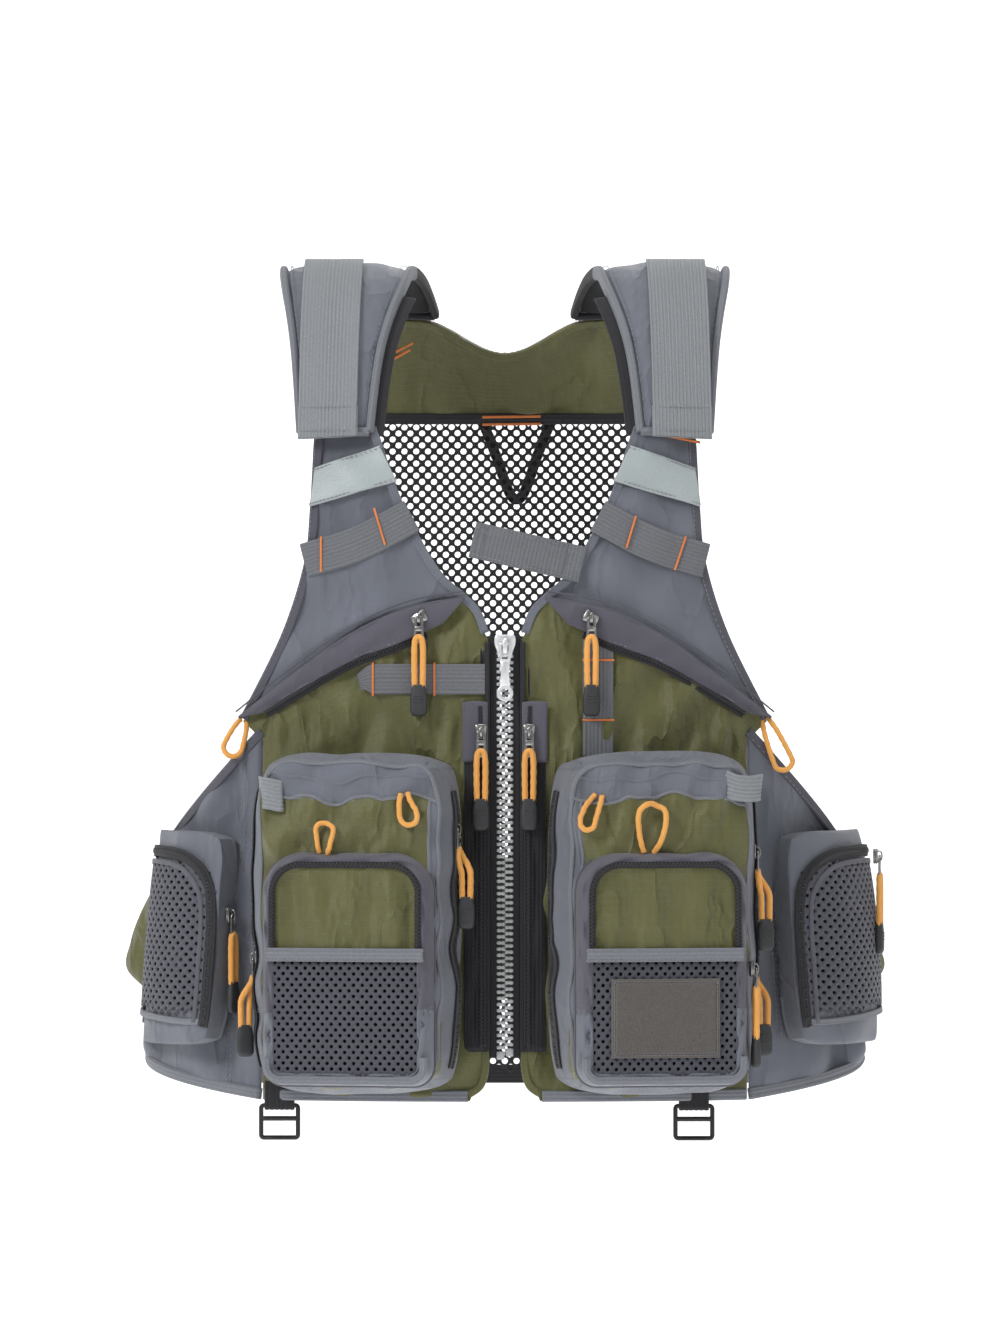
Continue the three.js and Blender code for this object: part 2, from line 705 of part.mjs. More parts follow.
function addCargoPocket({ word, side }) {
  const plane = cargoFace(side);
  const faceHeight = cargoHeight - 2 * CARGO.inset;
  const front = onPlane(plane, CARGO.faceWidth, faceHeight, 0);
  add("cargo_pocket_" + word, loft(cargoBase(side), front, 6, 8), OLIVE_CLOTH);
  const { headroom, depth, inset } = FRONT_POCKET;
  const width = frontPocketWidth;
  const height = faceHeight - headroom;
  const drop = headroom / 2;
  const small = loft(
    onPlane(plane, width, height, LAYER_GAP, drop),
    onPlane(plane, width - 2 * inset, height - 2 * inset, LAYER_GAP + depth, drop),
    4,
    6,
  );
  add("front_pocket_" + word, small, GREY_MESH);
}

// A point part of the way along the side wall of the cargo pocket, from base to face, with the
// wall's outward direction. end is 1 for the wall away from the middle of the vest.
function cargoWall(side, end, share, z) {
  const x = side * (CARGO.x + (end * CARGO.width) / 2);
  const base = raised(onFront, x, z, cargoLift);
  const { middle, across } = cargoFace(side);
  const towardsEdge = side * end * Math.sign(across.x);
  const edge = middle.clone().addScaledVector(across, (towardsEdge * CARGO.faceWidth) / 2);
  edge.z = z;
  const along = edge.clone().sub(base).normalize();
  const outward = new THREE.Vector3(-along.y, along.x, 0);
  if (outward.x * side * end < 0) outward.negate();
  return { point: base.lerp(edge, share), outward };
}

function addInnerPocket({ word, side }) {
  const { inner, outer, top, bottom, thickness, zipX } = INNER_POCKET;
  const strip = between([[outer, top, inner, top, 0], [outer, bottom, inner, bottom, 0]], side);
  const lift = CLOTH + LAYER_GAP;
  add("inner_pocket_" + word, panel(onFront, strip, lift, thickness, 2, 6), BLACK_CLOTH);
  const at = raised(onFront, side * zipX, top - 16, lift + thickness);
  addPocketZip("inner_" + word, at, new THREE.Vector3(0, -1, 0));
}

const sidePocketLift = CLOTH + LAYER_GAP + 0.6;
const sidePocketStart = angleAt(SIDE_POCKET.frontX, SIDE_POCKET.top);

// The side pocket is deep along its front wall, where its zip is, and thin towards the back.
function sidePocketSheet(side, outer) {
  const { top, bottom, backAngle, frontDepth, backDepth, crown } = SIDE_POCKET;
  return (u, v) => {
    const [a, b] = softened(u, v);
    const angle = side * mix(sidePocketStart, backAngle, (a + 1) / 2);
    const z = mix(top, bottom, (b + 1) / 2);
    const round = crown * Math.sqrt(Math.sin(Math.PI * u) * Math.sin(Math.PI * v));
    const depth = outer ? mix(frontDepth, backDepth, u) + round : 0;
    return raised(around, angle, z, sidePocketLift + depth);
  };
}

function addSidePocket({ word, side }) {
  const solid = loft(sidePocketSheet(side, false), sidePocketSheet(side, true), 6, 6);
  add("side_pocket_" + word, solid, GREY_MESH);
}

// A point on the front wall of the side pocket, halfway out from the vest.
function sidePocketWall(side, v) {
  const base = sidePocketSheet(side, false)(0, v);
  const edge = sidePocketSheet(side, true)(0, v);
  const along = edge.clone().sub(base);
  const outward = new THREE.Vector3(along.y, -along.x, 0).normalize();
  if (outward.y > 0) outward.negate();
  return { point: base.lerp(edge, 0.5), outward };
}

// A point on the piping of the side pocket's face, near its top.
function sidePocketFace(side, u, v) {
  const onFace = sidePocketSheet(side, true)(u, v);
  const outward = new THREE.Vector3(onFace.x * 0.9, onFace.y, 0).normalize();
  return { point: onFace.addScaledVector(outward, SIDE_POCKET.piping), outward };
}

function addPocketZips() {
  const walls = [
    ["cargo_inner_right", cargoWall(-1, -1, 0.55, CARGO.top - PULL_DROP.innerRight)],
    ["cargo_outer_right", cargoWall(-1, 1, 0.55, HEM + PULL_RISE)],
    ["cargo_upper_left", cargoWall(1, 1, 0.7, CARGO.top - PULL_DROP.upperLeft)],
    ["cargo_lower_left", cargoWall(1, 1, 0.32, HEM + PULL_RISE)],
    ["side_right", sidePocketWall(-1, 0.38)],
    ["side_left", sidePocketFace(1, 0.62, 0.13)],
  ];
  for (const [name, { point, outward }] of walls) addPocketZip(name, point, outward);
  const { middle, across, outward } = cargoFace(1);
  const wall = across.clone().multiplyScalar(Math.sign(across.x));
  const at = middle
    .clone()
    .addScaledVector(wall, frontPocketWidth / 2)
    .addScaledVector(outward, LAYER_GAP + FRONT_POCKET.depth / 2);
  at.z = middle.z - FRONT_POCKET.headroom / 2;
  addPocketZip("front_pocket_left", at, wall);
}

// ---- Small fittings ------------------------------------------------------------------------

// The hook-and-loop patch for drying flies, on the wearer's left.
function addPatch() {
  const { middle, across, outward } = cargoFace(1);
  const lift = 2 * LAYER_GAP + FRONT_POCKET.depth + PATCH.thickness / 2;
  const sheet = new THREE.BoxGeometry(PATCH.width, PATCH.thickness, PATCH.height);
  const patch = add("fly_patch", sheet, FELT);
  patch.position.copy(middle).addScaledVector(outward, lift).setZ(PATCH.z);
  patch.rotation.z = Math.atan2(across.y, across.x);
}

// A flap of webbing sewn to the left front edge, which holds a rod across the chest.
function addRodTab() {
  const root = raised(onFront, TAB.rootX, TAB.rootZ, CLOTH + LAYER_GAP + TAB.thickness);
  const half = TAB.height / 2;
  const outline = rectangle(-TAB.length, -half, 0, half);
  const tab = add("rod_tab", plate(outline, TAB.thickness), GREY_WEBBING);
  tab.position.copy(root);
  tab.rotation.y = THREE.MathUtils.degToRad(-TAB.slope);
}

// A ladder-lock buckle: a frame with two slots, hanging from its top bar.
function addBuckle(name, x) {
  const { width, height, thickness, bar, slot } = BUCKLE;
  const half = width / 2;
  const outline = polygon([
    [-half, bar / 2],
    [-half, -height + bar / 2],
    [half, -height + bar / 2],
    [half, bar / 2],
  ]);
  const low = (z) => rectangle(-half + bar, z - slot, half - bar, z, THREE.Path);
  outline.holes.push(low(-bar / 2), low(-bar * 1.5 - slot));
  const buckle = add(name, plate(outline, thickness), BLACK_PLASTIC);
  const at = onFront(x, HEM);
  buckle.position.set(x, at.y - CLOTH / 2, HEM - BUCKLE.belowHem - bar / 2);
}

addBack();
addNetHanger();
for (const one of SIDES) {
  addFront(one);
  addTrims(one);
  addShoulder(one);
  addZipSide(one);
  addCargoPocket(one);
  addInnerPocket(one);
  addSidePocket(one);
  addChestZip(one);
}
addChestWebbing();
addMainSlider();
addPocketZips();
addPatch();
addRodTab();
addBuckle("buckle_right", RIGHT_BUCKLE_X);
addBuckle("buckle_left", LEFT_BUCKLE_X);

export default vest;
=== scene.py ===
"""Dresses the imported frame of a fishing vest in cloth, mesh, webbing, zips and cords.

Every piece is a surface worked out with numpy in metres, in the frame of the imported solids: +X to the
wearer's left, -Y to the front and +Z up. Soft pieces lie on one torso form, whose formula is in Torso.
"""

import json
import logging
from dataclasses import dataclass, field
from enum import Enum
from typing import Callable, Optional, Sequence

import bmesh
import bpy
import numpy as np
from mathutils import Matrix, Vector
from mathutils.bvhtree import BVHTree


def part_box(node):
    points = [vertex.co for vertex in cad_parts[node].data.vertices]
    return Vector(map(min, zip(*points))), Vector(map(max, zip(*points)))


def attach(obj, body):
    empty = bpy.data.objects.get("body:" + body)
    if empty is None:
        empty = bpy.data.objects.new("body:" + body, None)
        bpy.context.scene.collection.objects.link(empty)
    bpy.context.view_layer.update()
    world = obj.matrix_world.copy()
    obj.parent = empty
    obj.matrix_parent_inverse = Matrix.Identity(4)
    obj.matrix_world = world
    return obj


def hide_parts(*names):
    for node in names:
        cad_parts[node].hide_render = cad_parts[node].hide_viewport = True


Array = np.ndarray
Surface = Callable[[Array, Array], Array]

log = logging.getLogger("vest")
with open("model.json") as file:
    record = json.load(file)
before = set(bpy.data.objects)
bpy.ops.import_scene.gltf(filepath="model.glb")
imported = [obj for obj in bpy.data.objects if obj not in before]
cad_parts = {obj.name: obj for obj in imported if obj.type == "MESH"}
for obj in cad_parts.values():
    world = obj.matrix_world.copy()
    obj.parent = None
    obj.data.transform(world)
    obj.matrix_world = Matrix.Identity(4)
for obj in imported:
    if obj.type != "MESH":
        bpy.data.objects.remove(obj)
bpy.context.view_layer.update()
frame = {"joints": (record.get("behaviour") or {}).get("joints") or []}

MM = 0.001
ROOT = "vest"


# ---- Numbers on arrays ---------------------------------------------------------------------


def unit(vectors: Array) -> Array:
    """Vectors scaled to length one along the last axis."""
    length = np.linalg.norm(vectors, axis=-1, keepdims=True)
    return vectors / np.maximum(length, 1e-12)


def smooth(low: float, high: float, values: Array) -> Array:
    """A smooth step that is 0 at low and 1 at high, with level ends."""
    t = np.clip((values - low) / (high - low), 0, 1)
    return t * t * (3 - 2 * t)


def span(columns: int, rows: int) -> tuple[Array, Array]:
    """The two parameters of a grid, each from 0 to 1.

    Args:
        columns: points along the first parameter.
        rows: points along the second.

    Returns:
        Two arrays of rows by columns.
    """
    return np.meshgrid(np.linspace(0, 1, columns), np.linspace(0, 1, rows))


def spline(points: Sequence[Sequence[float]], t: Array) -> Array:
    """A curve through points: cubic pieces whose slope at a point runs between its two neighbours.

    Args:
        points: the points, of any dimension.
        t: where on the curve, from 0 to 1, of any shape.

    Returns:
        The curve's points, with the points' dimension as the last axis.
    """
    p = np.asarray(points, float)
    last = len(p) - 1
    at = np.clip(np.asarray(t, float), 0, 1) * last
    i = np.minimum(at.astype(int), last - 1)
    f = (at - i)[..., None]
    a, b, c, d = p[np.maximum(i - 1, 0)], p[i], p[i + 1], p[np.minimum(i + 2, last)]
    return 0.5 * (2 * b + (c - a) * f + (2 * a - 5 * b + 4 * c - d) * f**2 + (3 * b - a - 3 * c + d) * f**3)


def even(path: Array, count: int) -> Array:
    """A path resampled to count points an equal way apart along its length."""
    steps = np.linalg.norm(np.diff(path, axis=0), axis=1)
    run = np.concatenate([[0], np.cumsum(steps)])
    wanted = np.linspace(0, run[-1], count)
    return np.stack([np.interp(wanted, run, path[:, k]) for k in range(path.shape[1])], axis=1)


def length_of(path: Array) -> float:
    """The length of a path of points."""
    return float(np.linalg.norm(np.diff(path, axis=0), axis=1).sum())


@dataclass(frozen=True)
class Ripple:
    """Gentle folds: a sum of cosine waves whose lengths lie round wave_x and wave_z."""

    seed: int
    height: float
    wave_x: float
    wave_z: float
    count: int = 9

    def at(self, x: Array, z: Array) -> Array:
        """The height of the folds at x and z."""
        rng = np.random.default_rng(self.seed)
        total = np.zeros(np.broadcast(x, z).shape)
        for _ in range(self.count):
            kx = 2 * np.pi / (self.wave_x * rng.uniform(0.7, 1.5))
            kz = 2 * np.pi / (self.wave_z * rng.uniform(0.7, 1.5)) * rng.choice([-1, 1])
            total = total + np.cos(kx * x + kz * z + rng.uniform(0, 2 * np.pi))
        return self.height * total / np.sqrt(self.count / 2)


# ---- Meshes --------------------------------------------------------------------------------


def grid_faces(rows: int, columns: int, wrap: bool = False) -> Array:
    """The four-sided faces of a grid of points, joined round its columns if wrap."""
    i = np.arange(rows - 1)[:, None]
    j = np.arange(columns if wrap else columns - 1)[None, :]
    k = (j + 1) % columns
    a, b, c, d = i * columns + j, i * columns + k, (i + 1) * columns + k, (i + 1) * columns + j
    return np.stack([a, b, c, d], axis=-1).reshape(-1, 4)


def grid_rim(rows: int, columns: int) -> Array:
    """The indices round the edge of a grid, in order, without a repeat."""
    index = np.arange(rows * columns).reshape(rows, columns)
    return np.concatenate([index[0, :-1], index[:-1, -1], index[-1, :0:-1], index[:0:-1, 0]])


def run_uv(points: Array) -> Array:
    """UV in metres on a grid: the mean run along its rows and its columns."""
    across = np.linalg.norm(np.diff(points, axis=1), axis=2).mean(0)
    down = np.linalg.norm(np.diff(points, axis=0), axis=2).mean(1)
    u = np.concatenate([[0], np.cumsum(across)])
    v = np.concatenate([[0], np.cumsum(down)])
    return np.stack(np.meshgrid(u, v), axis=-1)


def volume(points: Array, faces: Array) -> float:
    """Six times the volume that faces close round, positive if they point outwards."""
    a, b = points[faces[:, 0]], points[faces[:, 1]]
    total = 0.0
    for k in range(2, faces.shape[1]):
        c = points[faces[:, k]]
        total += float(np.einsum("ij,ij->i", a, np.cross(b, c)).sum())
        b = c
    return total


class Parts:
    """Mesh parts gathered into one object, each with its own finish."""

    def __init__(self) -> None:
        """Starts with nothing."""
        self.points: list[Array] = []
        self.loops: list[Array] = []
        self.totals: list[Array] = []
        self.slots: list[Array] = []
        self.uv: list[Array] = []
        self.finishes: list["Finish"] = []
        self.count = 0

    def more(self, faces: Array, base: int, finish: "Finish", uv: Array) -> None:
        """Adds faces between points that are already there.

        Args:
            faces: indices from base on, all faces with as many corners.
            base: where the faces' own points start.
            finish: what the faces are made of.
            uv: a flat place for each point, or for each corner of each face in order.
        """
        if finish not in self.finishes:
            self.finishes.append(finish)
        corners = faces.size
        self.loops.append((faces + base).ravel())
        self.totals.append(np.full(len(faces), faces.shape[1]))
        self.slots.append(np.full(len(faces), self.finishes.index(finish)))
        self.uv.append(uv if len(uv) == corners else uv[faces.ravel()])

    def add(self, points: Array, faces: Array, finish: "Finish", uv: Optional[Array] = None) -> int:
        """Adds points and the faces between them.

        Args:
            points: the points, as rows of x, y and z.
            faces: indices into points, all faces with as many corners.
            finish: what the faces are made of.
            uv: a flat place for each point or corner, or None for the points' x and z.

        Returns:
            Where the new points start.
        """
        base = self.count
        self.points.append(points)
        self.count += len(points)
        self.more(faces, base, finish, points[:, [0, 2]] if uv is None else uv)
        return base

    def shell(self, outer: Array, inner: Array, finish: "Finish", uv: Optional[Array] = None) -> None:
        """Adds a closed sheet between two grids of points that share their edges' order."""
        rows, columns = outer.shape[:2]
        size = rows * columns
        points = np.concatenate([outer.reshape(-1, 3), inner.reshape(-1, 3)])
        front = grid_faces(rows, columns)
        rim = grid_rim(rows, columns)
        after = np.roll(rim, -1)
        edge = np.stack([rim, rim + size, after + size, after], axis=1)
        faces = np.concatenate([front, front[:, ::-1] + size, edge])
        if volume(points, faces) < 0:
            faces = faces[:, ::-1]
        flat = (run_uv(outer) if uv is None else uv).reshape(-1, 2)
        self.add(points, faces, finish, np.concatenate([flat, flat]))

    def sweep(self, path: Array, normal: Array, section: Array, finish: "Finish", closed: bool = False,
            scale: Optional[Array] = None) -> None:
        """Carries a section along a path, its second axis along the normal, with closed ends.

        Args:
            path: the points of the path.
            normal: one direction for all of it, or one for each point.
            section: the closed outline, as rows of two numbers.
            finish: what it is made of.
            closed: whether the path joins its own start.
            scale: how much of the section's size each point has, or None for all of it.
        """
        count, sides = len(path), len(section)
        ahead = np.roll(path, -1, 0) - np.roll(path, 1, 0) if closed else np.gradient(path, axis=0)
        tangent = unit(ahead)
        across = unit(np.cross(tangent, np.broadcast_to(normal, path.shape)))
        up = np.cross(across, tangent)
        size = np.ones(count) if scale is None else scale
        ring = section[None, :, 0, None] * across[:, None] + section[None, :, 1, None] * up[:, None]
        points = (path[:, None] + ring * size[:, None, None]).reshape(-1, 3)
        rows = count + 1 if closed else count
        loop = np.vstack([path, path[:1]]) if closed else path
        run = np.concatenate([[0], np.cumsum(np.linalg.norm(np.diff(loop, axis=0), axis=1))])
        ring_run = np.vstack([section, section[:1]])
        around = np.concatenate([[0], np.cumsum(np.linalg.norm(np.diff(ring_run, axis=0), axis=1))])
        flat = np.stack(np.meshgrid(around, run), axis=-1).reshape(-1, 2)
        wide = grid_faces(rows, sides + 1)
        faces = (wide // (sides + 1) % count) * sides + wide % (sides + 1) % sides
        uv = flat[wide.ravel()]
        if closed:
            if volume(points, faces) < 0:
                faces, uv = faces[:, ::-1], flat[wide[:, ::-1].ravel()]
            self.add(points, faces, finish, uv)
            return
        points = np.concatenate([points, path[:1], path[-1:]])
        j = np.arange(sides)
        k = (j + 1) % sides
        base = (count - 1) * sides
        first = np.stack([k, j, np.full(sides, count * sides)], axis=1)
        second = np.stack([base + j, base + k, np.full(sides, count * sides + 1)], axis=1)
        caps = np.concatenate([first, second])
        if volume(points, faces) + volume(points, caps) < 0:
            faces, caps, uv = faces[:, ::-1], caps[:, ::-1], flat[wide[:, ::-1].ravel()]
        start = self.add(points, faces, finish, uv)
        self.more(caps, start, finish, np.zeros((caps.size, 2)))

    def stamp(self, shape: "Stamp", origins: Array, axes: Array, finish: "Finish") -> None:
        """Repeats one small shape at many places.

        Args:
            shape: the small shape.
            origins: where each copy goes.
            axes: three directions for each copy, as rows, which its x, y and z take.
            finish: what the copies are made of.
        """
        points = origins[:, None] + np.einsum("kp,npc->nkc", shape.points, axes)
        offset = np.arange(len(origins))[:, None, None] * len(shape.points)
        faces = (shape.faces[None] + offset).reshape(-1, shape.faces.shape[1])
        self.add(points.reshape(-1, 3), faces, finish)

    def build(self, name: str, merge: bool = False, flat: bool = False) -> bpy.types.Object:
        """Makes the object.

        Args:
            name: its name.
            merge: whether points in one place become one.
            flat: whether its faces keep hard edges.

        Returns:
            The new object, at the origin.
        """
        points = np.concatenate(self.points)
        loops = np.concatenate(self.loops)
        totals = np.concatenate(self.totals)
        mesh = bpy.data.meshes.new(name)
        mesh.vertices.add(len(points))
        mesh.vertices.foreach_set("co", points.astype(np.float32).ravel())
        mesh.loops.add(len(loops))
        mesh.loops.foreach_set("vertex_index", loops.astype(np.int32))
        mesh.polygons.add(len(totals))
        starts = np.concatenate([[0], np.cumsum(totals)[:-1]]).astype(np.int32)
        mesh.polygons.foreach_set("loop_start", starts)
        mesh.polygons.foreach_set("material_index", np.concatenate(self.slots).astype(np.int32))
        mesh.polygons.foreach_set("use_smooth", np.full(len(totals), not flat))
        layer = mesh.uv_layers.new(name="UVMap")
        layer.data.foreach_set("uv", np.concatenate(self.uv).astype(np.float32).ravel())
        for finish in self.finishes:
            mesh.materials.append(finish.material())
        mesh.update(calc_edges=True)
        mesh.validate()
        if merge:
            work = bmesh.new()
            work.from_mesh(mesh)
            bmesh.ops.remove_doubles(work, verts=work.verts, dist=0.00001)
            bmesh.ops.dissolve_degenerate(work, edges=work.edges, dist=0.00001)
            work.to_mesh(mesh)
            work.free()
        obj = bpy.data.objects.new(name, mesh)
        bpy.context.scene.collection.objects.link(obj)
        return obj


@dataclass(frozen=True, eq=False)
class Stamp:
    """A small shape of few faces, for repeats."""

    points: Array
    faces: Array


def rounded_block(size: Sequence[float], rings: Sequence[tuple[float, float]], sides: int = 8) -> Stamp:
    """A block with a rounded-rectangle section, as rings stacked along z with a cap at each end.

    Args:
        size: its full x, y and z.
        rings: for each ring, its height as a share of z and its width as a share of the section.
        sides: points in a ring; the section is a superellipse of power 4.

    Returns:
        The block, centred on its own origin.
    """
    angle = (np.arange(sides) + 0.5) / sides * 2 * np.pi
    x = np.sign(np.cos(angle)) * np.abs(np.cos(angle)) ** 0.5 * size[0] / 2
    y = np.sign(np.sin(angle)) * np.abs(np.sin(angle)) ** 0.5 * size[1] / 2
    rows = [np.stack([x * wide, y * wide, np.full(sides, (high - 0.5) * size[2])], axis=1) for high,
        wide in rings]
    points = np.concatenate(rows + [np.array([[0, 0, (rings[0][0] - 0.5) * size[2]]])])
    points = np.concatenate([points, np.array([[0, 0, (rings[-1][0] - 0.5) * size[2]]])])
    faces = grid_faces(len(rings), sides, wrap=True)
    j = np.arange(0, sides, 2)
    bottom, top = len(points) - 2, len(points) - 1
    base = (len(rings) - 1) * sides
    low = np.stack([np.full(len(j), bottom), (j + 2) % sides, (j + 1) % sides, j], axis=1)
    high = np.stack([np.full(len(j), top), base + j, base + j + 1, base + (j + 2) % sides], axis=1)
    faces = np.concatenate([faces, low, high])
    return Stamp(points, faces if volume(points, faces) > 0 else faces[:, ::-1])


def oval(width: float, height: float, sides: int = 12, power: float = 2.0) -> Array:
    """A closed outline: a superellipse of that power, and a plain ellipse at 2."""
    angle = np.linspace(0, 2 * np.pi, sides, endpoint=False)
    c, s = np.cos(angle), np.sin(angle)
    x = np.sign(c) * np.abs(c) ** (2 / power) * width / 2
    y = np.sign(s) * np.abs(s) ** (2 / power) * height / 2
    return np.stack([x, y], axis=1)


def ribbed(width: float, height: float, ribs: int, depth: float) -> Array:
    """The outline of a webbing: flat, with ribs raised as half waves on both faces."""
    count = ribs * 4 + 1
    t = np.linspace(0, 1, count)
    rise = height / 2 - depth + depth * np.abs(np.sin(np.pi * ribs * t)) ** 0.6
    x = (t - 0.5) * width
    top = np.stack([x, rise], axis=1)
    low = np.stack([x[::-1], -rise[::-1]], axis=1)
    return np.concatenate([top, low])


# ---- Finishes ------------------------------------------------------------------------------


class Weave(Enum):
    """How a cloth's threads run."""

    PLAIN = "plain"
    RIPSTOP = "ripstop"
    WEBBING = "webbing"
    BRAID = "braid"
    PILE = "pile"
    BEADS = "beads"


class Graph:
    """A material's node tree, with short ways to add to it."""

    def __init__(self, name: str) -> None:
        """Starts a material with one shader."""
        self.material = bpy.data.materials.new(name)
        self.material.use_nodes = True
        self.nodes = self.material.node_tree.nodes
        self.links = self.material.node_tree.links
        self.shader = self.nodes["Principled BSDF"]

    def node(self, kind: str, inputs: Optional[dict] = None, **settings: object) -> bpy.types.Node:
        """Adds a node, links or sets its inputs, and sets its other values."""
        made = self.nodes.new(kind)
        for key, value in settings.items():
            setattr(made, key, value)
        for key, value in (inputs or {}).items():
            if isinstance(value, bpy.types.NodeSocket):
                self.links.new(value, made.inputs[key])
            else:
                made.inputs[key].default_value = value
        return made

    def math(self, operation: str, a: object, b: object = 0.0) -> bpy.types.NodeSocket:
        """One sum on two numbers."""
        return self.node("ShaderNodeMath", {0: a, 1: b}, operation=operation).outputs[0]

    def mix(self, share: object, a: object, b: object) -> bpy.types.NodeSocket:
        """A colour between two colours."""
        made = self.node("ShaderNodeMix", {0: share, 6: a, 7: b}, data_type="RGBA")
        return made.outputs[2]

    def noise(self, place: bpy.types.NodeSocket, scale: float, detail: float = 2.0) -> bpy.types.NodeSocket:
        """Smooth noise from 0 to 1."""
        made = self.node("ShaderNodeTexNoise", {"Vector": place, "Scale": scale, "Detail": detail})
        return made.outputs["Fac"]

    def stretch(self, place: bpy.types.NodeSocket, scale: Sequence[float]) -> bpy.types.NodeSocket:
        """A place scaled along each axis."""
        return self.node("ShaderNodeMapping", {"Vector": place, "Scale": scale}).outputs[0]

    def bump(self, height: bpy.types.NodeSocket, distance: float, strength: float = 1.0) -> None:
        """Raises the surface by a height, on top of any bump that is there."""
        inputs = {"Height": height, "Distance": distance, "Strength": strength}
        socket = self.shader.inputs["Normal"]
        if socket.is_linked:
            inputs["Normal"] = socket.links[0].from_socket
        made = self.node("ShaderNodeBump", inputs)
        self.links.new(made.outputs[0], socket)


def rgba(colour: Sequence[float]) -> tuple[float, float, float, float]:
    """A colour with full cover."""
    return (colour[0], colour[1], colour[2], 1.0)


def toned(colour: Sequence[float], factor: float) -> tuple[float, float, float, float]:
    """A colour made lighter or darker."""
    return rgba([min(1.0, c * factor) for c in colour])


class Finish:
    """What a face is made of. Each kind makes its material once."""

    _made: dict = {}

    def material(self) -> bpy.types.Material:
        """The material, made at its first use."""
        if self not in Finish._made:
            Finish._made[self] = self.make()
        return Finish._made[self]

    def make(self) -> bpy.types.Material:
        """Makes the material."""
        raise NotImplementedError


